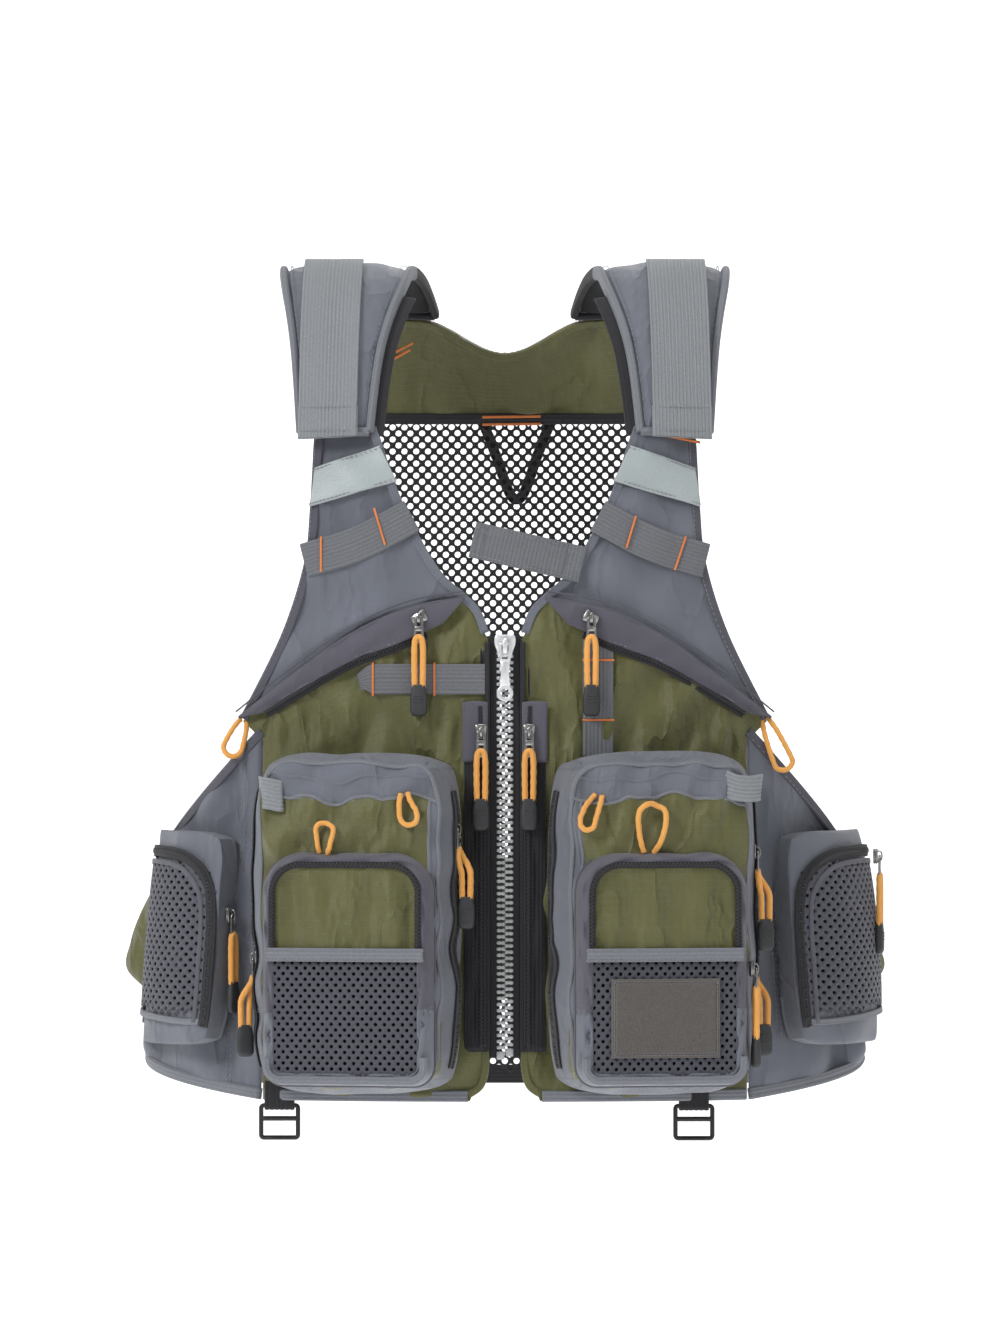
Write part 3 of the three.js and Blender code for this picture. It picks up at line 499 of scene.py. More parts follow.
@dataclass(frozen=True)
class Cloth(Finish):
    """A woven cloth. Its pattern reads the piece's UV map, which is in metres."""

    name: str
    colour: tuple[float, float, float]
    weave: Weave = Weave.PLAIN
    thread: float = 0.0009
    rough: float = 0.7
    sheen: float = 0.25
    # How far the colour swings either way: random mottling together with painted fold shade and highlight.
    mottle_and_fold_shade: float = 0.16
    bump: float = 0.00012
    crease: float = 0.0

    def make(self) -> bpy.types.Material:
        """Builds threads, slow mottling that also paints fold shade and highlight, and a soft sheen."""
        g = Graph(self.name)
        coords = g.node("ShaderNodeTexCoord")
        uv, place = coords.outputs["UV"], coords.outputs["Object"]
        height, share = self.threads(g, uv)
        slow = g.noise(place, 28.0, 4.0)
        fine = g.noise(g.stretch(uv, (1.0, 2.5, 1.0)), 900.0, 2.0)
        # Painted fold shade and highlight: the slow noise that raises the folds' bump also lightens the
        # colour on their crowns and darkens it in their hollows, mixed with random mottling.
        tone = g.math("ADD", g.math("MULTIPLY", slow, 0.55), g.math("MULTIPLY", fine, 0.45))
        body = g.mix(tone, toned(self.colour, 1 - self.mottle_and_fold_shade), toned(self.colour, 1 + self.mottle_and_fold_shade))
        colour = g.mix(share, body, toned(self.colour, 1.32))
        g.links.new(colour, g.shader.inputs["Base Color"])
        rough = g.node("ShaderNodeMapRange",
            {"Value": fine, "To Min": self.rough - 0.07, "To Max": self.rough + 0.07})
        g.links.new(rough.outputs[0], g.shader.inputs["Roughness"])
        g.shader.inputs["Sheen Weight"].default_value = self.sheen
        g.shader.inputs["Sheen Roughness"].default_value = 0.45
        g.shader.inputs["Specular IOR Level"].default_value = 0.35
        g.bump(height, self.bump)
        g.bump(slow, 0.0012, 0.5)
        if self.crease:
            wide = g.noise(g.stretch(place, (1.6, 1.0, 0.7)), 17.0, 3.0)
            away = g.math("ABSOLUTE", g.math("SUBTRACT", g.math("MULTIPLY", wide, 2.0), 1.0))
            ridge = g.math("POWER", g.math("SUBTRACT", 1.0, away), 7.0)
            g.bump(ridge, self.crease, 0.8)
        return g.material

    def threads(self, g: Graph, uv: bpy.types.NodeSocket) -> tuple:
        """The height of the threads and where the pale ones lie; on webbing the pale ones also paint
        highlight along the ribs' crests.

        Args:
            g: the material's nodes.
            uv: the flat place in metres.

        Returns:
            Two sockets: the height, and the share of the paler colour.
        """
        turn = 2 * np.pi / self.thread
        split = g.node("ShaderNodeSeparateXYZ", {0: uv})
        x, y = split.outputs[0], split.outputs[1]
        warp = g.math("SINE", g.math("MULTIPLY", x, turn))
        weft = g.math("SINE", g.math("MULTIPLY", y, turn))
        if self.weave is Weave.RIPSTOP:
            return self.ripstop(g, x, y, warp, weft)
        if self.weave is Weave.WEBBING:
            cross = g.math("MULTIPLY", warp, weft)
            speck = g.noise(g.stretch(uv, (1.0, 0.35, 1.0)), 1500.0, 1.0)
            # Painted highlight on the ribs: the pale threads gather where the rib wave is high, on top of the
            # bump that raises the ribs.
            rib_bump_and_highlight = g.math("SINE", g.math("MULTIPLY", x, 2 * np.pi / 0.0026))
            pale = g.math("MULTIPLY", g.math("GREATER_THAN",
                g.math("ADD", speck, g.math("MULTIPLY", rib_bump_and_highlight, 0.16)), 0.52), 0.6)
            return g.math("ADD", cross, g.math("MULTIPLY", rib_bump_and_highlight, 1.2)), pale
        if self.weave is Weave.PILE:
            tufts = g.noise(uv, 1600.0, 3.0)
            pale = g.math("MULTIPLY", g.math("GREATER_THAN", tufts, 0.56), 0.75)
            return tufts, pale
        if self.weave is Weave.BRAID:
            cross = g.math("MULTIPLY", warp, weft)
            pale = g.math("MULTIPLY", g.math("GREATER_THAN", cross, 0.15), 0.4)
            return cross, pale
        if self.weave is Weave.BEADS:
            cells = g.node("ShaderNodeTexVoronoi", {"Vector": uv, "Scale": 1 / self.thread})
            return cells.outputs["Distance"], g.math("MULTIPLY", cells.outputs["Distance"], 0.35)
        cross = g.math("MULTIPLY", warp, weft)
        return cross, g.math("MULTIPLY", g.math("ADD", cross, 1.0), 0.06)

    def ripstop(self, g: Graph, x: object, y: object, warp: object, weft: object) -> tuple:
        """A plain weave with a thicker thread every few millimetres each way."""
        every = 0.0042
        lines = []
        for along in (x, y):
            wave = g.math("SINE", g.math("MULTIPLY", along, 2 * np.pi / every))
            lines.append(g.math("GREATER_THAN", wave, 0.93))
        line = g.math("MAXIMUM", g.math("MULTIPLY", lines[0], 0.55), lines[1])
        height = g.math("ADD", g.math("MULTIPLY", g.math("MULTIPLY", warp, weft), 0.4), line)
        return height, g.math("MULTIPLY", line, 0.26)


@dataclass(frozen=True)
class Metal(Finish):
    """Plated metal with faint handling marks."""

    name: str
    colour: tuple[float, float, float]
    rough: float = 0.26
    metallic: float = 1.0

    def make(self) -> bpy.types.Material:
        """Builds a metal whose gloss varies a little."""
        g = Graph(self.name)
        place = g.node("ShaderNodeTexCoord").outputs["Object"]
        marks = g.noise(place, 420.0, 4.0)
        colour = g.mix(marks, toned(self.colour, 0.8), toned(self.colour, 1.1))
        g.links.new(colour, g.shader.inputs["Base Color"])
        rough = g.node("ShaderNodeMapRange",
            {"Value": marks, "To Min": self.rough - 0.08, "To Max": self.rough + 0.14})
        g.links.new(rough.outputs[0], g.shader.inputs["Roughness"])
        g.shader.inputs["Metallic"].default_value = self.metallic
        g.bump(marks, 0.00005, 0.5)
        return g.material


@dataclass(frozen=True)
class Moulded(Finish):
    """Moulded plastic or rubber with a fine grain."""

    name: str
    colour: tuple[float, float, float]
    rough: float = 0.5

    def make(self) -> bpy.types.Material:
        """Builds a plastic with a grain and slightly worn tone."""
        g = Graph(self.name)
        place = g.node("ShaderNodeTexCoord").outputs["Object"]
        grain = g.noise(place, 1600.0, 2.0)
        worn = g.noise(place, 90.0, 3.0)
        colour = g.mix(worn, toned(self.colour, 0.8), toned(self.colour, 1.5))
        g.links.new(colour, g.shader.inputs["Base Color"])
        rough = g.node("ShaderNodeMapRange",
            {"Value": worn, "To Min": self.rough - 0.1, "To Max": self.rough + 0.1})
        g.links.new(rough.outputs[0], g.shader.inputs["Roughness"])
        g.bump(grain, 0.00006, 0.6)
        return g.material


@dataclass(frozen=True)
class Ground(Finish):
    """The plain pale floor."""

    name: str
    colour: tuple[float, float, float]

    def make(self) -> bpy.types.Material:
        """Builds a matt surface with hardly visible mottling."""
        g = Graph(self.name)
        place = g.node("ShaderNodeTexCoord").outputs["Object"]
        tone = g.noise(place, 3.0)
        colour = g.mix(tone, toned(self.colour, 0.995), rgba(self.colour))
        g.links.new(colour, g.shader.inputs["Base Color"])
        g.shader.inputs["Roughness"].default_value = 0.9
        g.shader.inputs["Emission Color"].default_value = (1.0, 1.0, 1.0, 1.0)
        g.shader.inputs["Emission Strength"].default_value = 0.6
        return g.material


# The mottle settings give random mottling together with painted fold shade and highlight.
GREY = Cloth("grey_nylon", (0.156, 0.168, 0.203), thread=0.0008, rough=0.52, mottle_and_fold_shade=0.2, crease=0.0024)
GREY_DARK = Cloth("dark_grey_nylon", (0.093, 0.093, 0.117), thread=0.0008, rough=0.66)
FLAP = Cloth("storm_flap_nylon", (0.103, 0.1, 0.128), thread=0.0008, rough=0.6, crease=0.0008)
OLIVE = Cloth("olive_ripstop", (0.112, 0.111, 0.039), Weave.RIPSTOP, rough=0.36, sheen=0.35, mottle_and_fold_shade=0.24,
    crease=0.0032)
# Near-black cloth: the real lining under the shoulder pads, and painted shade where it sits behind the pocket
# nets.
LINING_AND_SHADE = Cloth("black_lining_and_shade", (0.014, 0.014, 0.015), rough=0.85, sheen=0.1)
BLACK_TAPE = Cloth("black_tape", (0.02, 0.02, 0.023), Weave.WEBBING, rough=0.75, sheen=0.15)
BACK_NET = Cloth("black_net", (0.022, 0.022, 0.026), Weave.BRAID, thread=0.0012, rough=0.7)
POCKET_NET = Cloth("grey_net", (0.07, 0.072, 0.092), Weave.BRAID, thread=0.0011, rough=0.7)
WEBBING = Cloth("grey_webbing", (0.225, 0.24, 0.255), Weave.WEBBING, thread=0.0011, rough=0.75)
WEBBING_DARK = Cloth("dark_webbing", (0.14, 0.146, 0.16), Weave.WEBBING, thread=0.0011, rough=0.75)
BINDING = Cloth("binding", (0.18, 0.19, 0.215), Weave.WEBBING, thread=0.0009, rough=0.72)
SHINE = Cloth("reflective", (0.34, 0.38, 0.385), Weave.BEADS, thread=0.0013, rough=0.38, mottle_and_fold_shade=0.06)
PATCH_PILE = Cloth("loop_pile", (0.12, 0.11, 0.104), Weave.PILE, rough=0.95, bump=0.0004)
CORD = Cloth("orange_cord", (0.88, 0.4, 0.09), Weave.BRAID, thread=0.0016, rough=0.6, bump=0.0002)
TACK = Cloth("orange_thread", (0.88, 0.25, 0.06), Weave.BRAID, thread=0.0008, rough=0.55)
THREAD = Cloth("grey_thread", (0.23, 0.24, 0.27), Weave.BRAID, thread=0.0005, rough=0.6)
OLIVE_THREAD = Cloth("olive_thread", (0.1, 0.11, 0.035), Weave.BRAID, thread=0.0005, rough=0.6)
STEEL = Metal("nickel", (0.36, 0.355, 0.35))
BRIGHT = Metal("bright_lacquer", (0.83, 0.84, 0.85), rough=0.32, metallic=0.55)
TOOTH = Moulded("zip_tooth", (0.42, 0.43, 0.44), rough=0.38)
COIL = Moulded("zip_coil", (0.03, 0.03, 0.033), rough=0.45)
GRIP = Moulded("grip_rubber", (0.028, 0.029, 0.031), rough=0.55)
PLASTIC = Moulded("buckle_plastic", (0.012, 0.012, 0.013), rough=0.36)
FLOOR = Ground("pale_floor", (0.9, 0.9, 0.9))


# ---- The torso form ------------------------------------------------------------------------


@dataclass(frozen=True)
class Torso:
    """The form that every cloth lies on.

    In plan it is a superellipse, wider towards the hem. Above base it closes in a dome: its depth is a
    quarter circle's, from full at base to nothing at height 0.
    """

    half_width: float = 0.223
    hem_flare: float = 0.013
    flare_start: float = -0.366
    flare_length: float = 0.15
    front: float = 0.115
    back: float = 0.125
    base: float = -0.22
    power: float = 2.2

    def share(self, s: Array) -> Array:
        """How far the plan reaches forward at a share of its half width."""
        return np.clip(1 - np.abs(s) ** self.power, 0, 1) ** (1 / self.power)

    def dome(self, z: Array) -> Array:
        """How much of its depth the form has at a height."""
        up = np.clip((z - self.base) / -self.base, 0, 1)
        return np.sqrt(1 - up**2)

    def width(self, z: Array) -> Array:
        """The half width at a height."""
        return self.half_width + self.hem_flare * np.clip((self.flare_start - z) / self.flare_length, 0, 1)

    def front_face(self, x: Array, z: Array) -> Array:
        """The front at x and z."""
        y = -self.front * self.dome(z) * self.share(x / self.width(z))
        return np.stack(np.broadcast_arrays(x, y, z), axis=-1)

    def back_face(self, x: Array, z: Array) -> Array:
        """The back at x and z."""
        y = self.back * self.dome(z) * self.share(x / self.width(z))
        return np.stack(np.broadcast_arrays(x, y, z), axis=-1)

    def around(self, angle: Array, z: Array) -> Array:
        """The form by its angle in plan: 0 in front, 90 at the wearer's left and 180 behind."""
        a = np.radians(angle)
        s, c = np.sin(a), np.cos(a)
        x = self.width(z) * np.sign(s) * np.abs(s) ** (2 / self.power)
        depth = np.where(c > 0, -self.front, self.back)
        y = depth * self.dome(z) * np.abs(c) ** (2 / self.power)
        return np.stack(np.broadcast_arrays(x, y, z), axis=-1)

    def over(self, x: Array, tilt: Array) -> Array:
        """The dome by its tilt: 0 at the front of its base, 90 on the shoulder, 180 behind."""
        a = np.radians(tilt)
        depth = np.where(np.cos(a) > 0, self.front, self.back)
        y = -depth * np.cos(a) * self.share(x / self.half_width)
        return np.stack(np.broadcast_arrays(x, y, self.base * (1 - np.sin(a))), axis=-1)

    def angle_at(self, x: float, z: float) -> float:
        """The plan angle of the front's point at x."""
        return float(np.degrees(np.arcsin((x / self.width(z)) ** (self.power / 2))))

    def normal(self, surface: Surface, p: Array, q: Array) -> Array:
        """The outward normal of a surface, by small steps along its two parameters."""
        step = 1e-4
        along_p = surface(p + step, q) - surface(p - step, q)
        along_q = surface(p, q + step) - surface(p, q - step)
        n = unit(np.cross(along_p, along_q))
        at = surface(p, q)
        out = at - [0, 0, self.base]
        out[..., 2] = np.maximum(out[..., 2], 0)
        facing = np.sign((n * out).sum(-1, keepdims=True))
        return n * np.where(facing == 0, 1, facing)

    def raised(self, surface: Surface, p: Array, q: Array, lift: Array) -> Array:
        """The surface moved out by a lift along its normal."""
        p, q = np.broadcast_arrays(np.asarray(p, float), np.asarray(q, float))
        return surface(p, q) + self.normal(surface, p, q) * np.asarray(lift)[..., None]


FORM = Torso()
HEM = -0.54
UP = np.array([0.0, 0.0, 1.0])


def rows_between(rows: Sequence[Sequence[float]], u: Array, v: Array, side: int = 1,
        bent: bool = False) -> tuple:
    """A patch of the front or back between an outer and an inner edge.

    Args:
        rows: outer x, outer z, inner x, inner z and bow for each row, in millimetres. Bow lifts a row's
            middle as a parabola.
        u: from the outer edge at 0 to the inner edge at 1.
        v: down the rows, from 0 to 1.
        side: 1 for the wearer's left and -1 for the right.
        bent: whether the edges are straight between rows instead of curved.

    Returns:
        x and z, in metres.
    """
    table = np.asarray(rows, float) * MM
    if bent:
        at = v * (len(table) - 1)
        row = np.stack([np.interp(at, np.arange(len(table)), table[:, k]) for k in range(5)], axis=-1)
    else:
        row = spline(table, v)
    x = row[..., 0] + (row[..., 2] - row[..., 0]) * u
    z = row[..., 1] + (row[..., 3] - row[..., 1]) * u + 4 * u * (1 - u) * row[..., 4]
    return side * x, z


@dataclass
class Line:
    """A path with the outward normal at each of its points."""

    points: Array
    normals: Array

    @classmethod
    def on(cls, surface: Surface, places: Sequence, lift: float, count: int = 60, mm: bool = True) -> "Line":
        """A smooth line over a surface of the form.

        Args:
            surface: the surface.
            places: its parameters at some points of the line, in millimetres, or plain if mm is False.
            lift: how far off the surface the line is.
            count: how many points the line has.
            mm: whether places are in millimetres.

        Returns:
            The line, its points evenly apart.
        """
        at = spline(places, np.linspace(0, 1, 4 * count)) * (MM if mm else 1)
        path = FORM.raised(surface, at[:, 0], at[:, 1], lift)
        both = even(np.hstack([path, FORM.normal(surface, at[:, 0], at[:, 1])]), count)
        return cls(both[:, :3], unit(both[:, 3:]))

    def moved(self, across: float = 0.0, out: float = 0.0) -> "Line":
        """The line moved sideways and outwards."""
        side = unit(np.cross(unit(np.gradient(self.points, axis=0)), self.normals))
        return Line(self.points + side * across + self.normals * out, self.normals)

    def cut(self, start: float, end: float) -> "Line":
        """The part of the line between two shares of its points."""
        n = len(self.points) - 1
        keep = slice(int(round(start * n)), int(round(end * n)) + 1)
        return Line(self.points[keep], self.normals[keep])

    def spaced(self, pitch: float) -> tuple[Array, Array]:
        """Places along the line a pitch apart, with the axes along, out and across at each."""
        both = np.hstack([self.points, self.normals])
        count = max(2, int(length_of(self.points) / pitch) + 1)
        at = even(both, count)
        path, out = at[:, :3], unit(at[:, 3:])
        along = unit(np.gradient(path, axis=0))
        across = unit(np.cross(along, out))
        return path, np.stack([across, np.cross(along, -across), along], axis=1)


def strap(parts: Parts, line: Line, width: float, thick: float, finish: Finish, ribs: int = 0) -> None:
    """Lays a flat band along a line, plain or ribbed like a webbing."""
    if ribs:
        section = ribbed(width, thick, ribs, min(0.0003, thick * 0.3))
    else:
        section = oval(width, thick, 14, 6.0)
    parts.sweep(line.points, line.normals, section, finish)


STITCH = rounded_block((0.00055, 0.00045, 0.0022), [(0, 0.35), (0.18, 1), (0.82, 1), (1, 0.35)], 6)


def stitch(parts: Parts, line: Line, finish: Finish, pitch: float = 0.0029, sink: float = 0.0) -> None:
    """Sews a row of stitches along a line."""
    places, axes = line.spaced(pitch)
    parts.stamp(STITCH, places - axes[:, 1] * sink, axes, finish)


def bartack(parts: Parts, line: Line, finish: Finish, wide: float = 0.0016) -> None:
    """Sews a bartack: close stitches across a short line, on a thin bed of thread."""
    parts.sweep(line.points, line.normals, oval(wide * 0.8, 0.0006, 8, 3.0), finish)
    places, axes = line.spaced(0.00062)
    block = rounded_block((wide, 0.0009, 0.0006), [(0, 0.8), (0.5, 1), (1, 0.8)], 6)
    lean = axes.copy()
    lean[:, 0] = unit(axes[:, 0] + 0.25 * axes[:, 2])
    parts.stamp(block, places, lean, finish)


def cord_tube(parts: Parts, path: Array, diameter: float, finish: Finish, flat: float = 1.0) -> None:
    """A braided cord: a tube whose radius rises where one of two sets of helical strands lies on top.

    Args:
        parts: what it is added to.
        path: the centreline.
        diameter: the cord's diameter.
        finish: what it is made of.
        flat: how thick it is along its own normal, as a share of its width.
    """
    run = length_of(path)
    path = even(path, max(12, int(run / 0.00055)))
    tangent = unit(np.gradient(path, axis=0))
    first = np.cross(tangent[0], [0.0, 1.0, 0.02])
    ups = [unit(np.cross(first, tangent[0]))]
    for t in tangent[1:]:
        ups.append(unit(ups[-1] - t * float(ups[-1] @ t)))
    up = np.array(ups)
    across = np.cross(tangent, up)
    angle = np.linspace(0, 2 * np.pi, 14, endpoint=False)
    along = np.linspace(0, run, len(path))[:, None]
    turn = 2 * np.pi * along / (diameter * 1.5)
    strands = np.maximum(np.cos(4 * angle[None] + turn), np.cos(4 * angle[None] - turn))
    radius = diameter / 2 * (0.93 + 0.07 * strands)
    ring = np.cos(angle)[None, :, None] * across[:, None] + flat * np.sin(angle)[None, :, None] * up[:, None]
    points = (path[:, None] + ring * radius[..., None]).reshape(-1, 3)
    sides = len(angle)
    rows = len(path)
    wide = grid_faces(rows, sides + 1)
    faces = wide // (sides + 1) * sides + wide % (sides + 1) % sides
    uv_grid = np.stack(np.meshgrid(np.linspace(0, np.pi * diameter, sides + 1), along.ravel()), axis=-1)
    flat_uv = uv_grid.reshape(-1, 2)
    points = np.concatenate([points, path[:1], path[-1:]])
    j = np.arange(sides)
    k = (j + 1) % sides
    base = (rows - 1) * sides
    caps = np.concatenate([np.stack([k, j, np.full(sides, rows * sides)], axis=1),
        np.stack([base + j, base + k, np.full(sides, rows * sides + 1)], axis=1)])
    uv = flat_uv[wide.ravel()]
    if volume(points, faces) + volume(points, caps) < 0:
        faces, caps, uv = faces[:, ::-1], caps[:, ::-1], flat_uv[wide[:, ::-1].ravel()]
    start = parts.add(points, faces, finish, uv)
    parts.more(caps, start, finish, np.zeros((caps.size, 2)))


def holed(parts: Parts, place: Callable[[Array, Array, float], Array],
        area: tuple[float, float, float, float], inside: Callable[[Array, Array], Array],
        pitch: tuple[float, float], hole: float, thick: float, finish: Finish) -> int:
    """A net: staggered round holes in a cloth, each in a diamond-shaped cell of eight edge points.

    Args:
        parts: what it is added to.
        place: gives the point at two flat parameters and a lift.
        area: the lowest and highest of the first parameter, then of the second.
        inside: says which cells are kept, by their middles.
        pitch: from hole to hole across, and from one staggered row to the next.
        hole: the holes' diameter.
        thick: the cloth's thickness.
        finish: what it is made of.

    Returns:
        How many holes it has.
    """
    x0, x1, z0, z1 = area
    half, rise = pitch[0] / 2, pitch[1]
    n = int((x1 - x0) / half + (z1 - z0) / rise) + 4
    i, j = np.meshgrid(np.arange(-n, n), np.arange(-n, n))
    cx = (x0 + x1) / 2 + (i - j) * half
    cz = (z0 + z1) / 2 + (i + j) * rise
    keep = (cx > x0) & (cx < x1) & (cz > z0) & (cz < z1)
    keep &= inside(cx, cz)
    cx, cz, i, j = cx[keep], cz[keep], i[keep], j[keep]
    angle = np.arange(8) * np.pi / 4
    ring = np.stack([np.cos(angle), np.sin(angle)], axis=1) * hole / 2
    corner = np.array([[1, 0], [0.5, 0.5], [0, 1], [-0.5, 0.5], [-1, 0], [-0.5, -0.5], [0, -1], [0.5, -0.5]])
    steps = np.array([[1, -1], [1, 0], [1, 1], [0, 1], [-1, 1], [-1, 0], [-1, -1], [0, -1]])
    shared = np.stack([2 * i[:, None] + steps[None, :, 0], 2 * j[:, None] + steps[None, :, 1]], axis=-1)
    _, first, index = np.unique(shared.reshape(-1, 2), axis=0, return_index=True, return_inverse=True)
    index = index.reshape(-1, 8)
    edge = np.stack([cx[:, None] + corner[None, :, 0] * half, cz[:, None] + corner[None, :, 1] * rise],
        axis=-1)
    edge = edge.reshape(-1, 2)[first]
    inner = np.stack([cx[:, None] + ring[None, :, 0], cz[:, None] + ring[None, :, 1]], axis=-1).reshape(-1, 2)
    flat = np.concatenate([edge, inner])
    size = len(flat)
    front = place(flat[:, 0], flat[:, 1], thick)
    back = place(flat[:, 0], flat[:, 1], 0.0)
    k = np.arange(8)
    nxt = (k + 1) % 8
    own = len(edge) + np.arange(len(cx))[:, None] * 8
    a, b = index[:, k], index[:, nxt]
    c, d = own + nxt[None], own + k[None]
    faces = np.stack([a, b, c, d], axis=-1).reshape(-1, 4)
    walls = np.stack([d, c, c + size, d + size], axis=-1).reshape(-1, 4)
    pairs = np.sort(faces[:, :2], axis=1)
    code = pairs[:, 0] * size + pairs[:, 1]
    _, inverse, counts = np.unique(code, return_inverse=True, return_counts=True)
    rim = faces[counts[inverse.ravel()] == 1]
    rims = np.stack([rim[:, 0], rim[:, 0] + size, rim[:, 1] + size, rim[:, 1]], axis=-1)
    every = np.concatenate([faces, faces[:, ::-1] + size, walls, rims])
    points = np.concatenate([front, back])
    if volume(points, every) < 0:
        every = every[:, ::-1]
    parts.add(points, every, finish, np.concatenate([flat, flat]))
    return len(cx)


def settle(obj: bpy.types.Object, nodes: Sequence[str] = (), body: str = ROOT) -> bpy.types.Object:
    """Puts a finished piece on its body and hides the solids that it stands for.

    Args:
        obj: the piece.
        nodes: the solids that it replaces.
        body: the body that it moves with.

    Returns:
        The same piece.
    """
    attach(obj, body)
    if nodes:
        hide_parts(*nodes)
    log.info("%-28s %6d faces, on %s", obj.name, len(obj.data.polygons), body)
    return obj


@dataclass(frozen=True)
class Side:
    """One side of the wearer."""

    word: str
    sign: int


RIGHT = Side("right", -1)
LEFT = Side("left", 1)
SIDES = (RIGHT, LEFT)


# ---- Studio --------------------------------------------------------------------------------


@dataclass
class Studio:
    """The camera, the soft lights and the pale floor."""

    distance: float = 5.0
    height: float = 0.866
    centre: tuple[float, float, float] = (-0.00325, -0.115, -0.2577)

    def camera(self) -> None:
        """A long lens, level, that sees a frame of that height at the vest's front."""
        data = bpy.data.cameras.new("camera")
        data.sensor_fit = "VERTICAL"
        data.sensor_height = 24.0
        data.lens = 24.0 * self.distance / self.height
        obj = bpy.data.objects.new("camera", data)
        x, y, z = self.centre
        obj.location = (x, y - self.distance, z)
        obj.rotation_euler = (np.pi / 2, 0, 0)
        bpy.context.scene.collection.objects.link(obj)
        bpy.context.scene.camera = obj

    def light(self, name: str, place: Sequence[float], size: float, power: float) -> None:
        """A square soft box that faces the vest's middle."""
        data = bpy.data.lights.new(name, "AREA")
        data.size = size
        data.energy = power
        obj = bpy.data.objects.new(name, data)
        obj.location = place
        aim = Vector((0, 0, -0.28)) - Vector(place)
        obj.rotation_euler = aim.to_track_quat("-Z", "Y").to_euler()
        bpy.context.scene.collection.objects.link(obj)

    def ground(self) -> None:
        """A floor that curves up into a backdrop far behind the vest."""
        u, v = span(9, 60)
        run = v * 12 - 6
        bend = np.clip(run - 3.0, 0, None)
        y = np.where(run < 3.0, run, 3.0 + 1.2 * np.sin(np.clip(bend / 1.2, 0, np.pi / 2)))
        z = np.where(run < 3.0, 0.0, 1.2 * (1 - np.cos(np.clip(bend / 1.2, 0, np.pi / 2))))
        z = z + np.clip(bend - 1.2 * np.pi / 2, 0, None) * 3.5
        top = np.stack([(u - 0.5) * 14, y, z - 1.25], axis=-1)
        parts = Parts()
        parts.shell(top, top + [0, 0.02, -0.02], FLOOR)
        parts.build("floor")

    def build(self) -> None:
        """Sets up the whole studio."""
        self.camera()
        self.ground()
        self.light("key", (-2.3, -2.2, 1.7), 1.1, 72.0)
        self.light("fill", (2.2, -2.0, 0.2), 2.0, 8.0)
        self.light("top", (0.2, -0.6, 2.0), 1.2, 20.0)
        self.light("rim", (0.6, 2.2, 1.2), 1.6, 16.0)
        world = bpy.data.worlds.new("studio")
        world.use_nodes = True
        world.node_tree.nodes["Background"].inputs[0].default_value = (1, 1, 1, 1)
        world.node_tree.nodes["Background"].inputs[1].default_value = 0.3
        bpy.context.scene.world = world
        bpy.context.scene.view_settings.view_transform = "Standard"


# ---- Pocket zips' sliders and pulls --------------------------------------------------------


@dataclass(frozen=True)
class Frame:
    """A place with its own axes: across, out and up."""

    origin: Array
    across: Array
    out: Array
    up: Array = field(default_factory=lambda: np.array([0.0, 0.0, 1.0]))

    def at(self, points: Array) -> Array:
        """Points given by across, out and up, in metres."""
        axes = np.stack([self.across, self.out, self.up])
        return self.origin + np.asarray(points) @ axes

    @classmethod
    def of_joint(cls, name: str) -> "Frame":
        """The frame of a pull from the joint that it swings on."""
        joint = next(j for j in frame["joints"] if j["name"] == name)
        across = -np.array(joint["axis"], float)
        return cls(np.array(joint["pos_m"], float), across, np.cross(across, UP))


def plate(parts: Parts, place: Frame, outline: Array, levels: Sequence[tuple[float, float]],
        finish: Finish) -> None:
    """A plate facing outwards: a convex outline in across and up, at levels of out and inset.

    Args:
        parts: what it is added to.
        place: its frame.
        outline: the outline's points, in metres.
        levels: for each ring, how far out it is and how far its points are drawn in.
        finish: what it is made of.
    """
    middle = outline.mean(0)
    spread = outline - middle
    reach = np.linalg.norm(spread, axis=1, keepdims=True)
    rings = []
    for out, inset in levels:
        flat = middle + spread * (1 - inset / reach)
        rings.append(np.stack([flat[:, 0], np.full(len(flat), out), flat[:, 1]], axis=1))
    ends = [[middle[0], levels[0][0], middle[1]], [middle[0], levels[-1][0], middle[1]]]
    points = np.concatenate(rings + [np.array(ends)])
    n = len(outline)
    faces = grid_faces(len(levels), n, wrap=True)
    j = np.arange(n)
    k = (j + 1) % n
    base = (len(levels) - 1) * n
    low = np.stack([k, j, np.full(n, len(points) - 2)], axis=1)
    high = np.stack([base + j, base + k, np.full(n, len(points) - 1)], axis=1)
    caps = np.concatenate([low, high])
    world = place.at(points)
    if volume(world, faces) + volume(world, caps) < 0:
        faces, caps = faces[:, ::-1], caps[:, ::-1]
    start = parts.add(world, faces, finish, points[:, [0, 2]])
    parts.more(caps, start, finish, points[:, [0, 2]])


def rounded_rectangle(width: float, height: float, radius: float, steps: int = 4) -> Array:
    """The outline of a rectangle with round corners, centred on its origin."""
    angle = np.linspace(0, np.pi / 2, steps + 1)
    corner = np.stack([np.cos(angle), np.sin(angle)], axis=1) * radius
    w, h = width / 2 - radius, height / 2 - radius
    turn = np.array([[0.0, 1.0], [-1.0, 0.0]])
    parts = []
    for centre in ([w, h], [-w, h], [-w, -h], [w, -h]):
        parts.append(corner + centre)
        corner = corner @ turn
    return np.concatenate(parts)


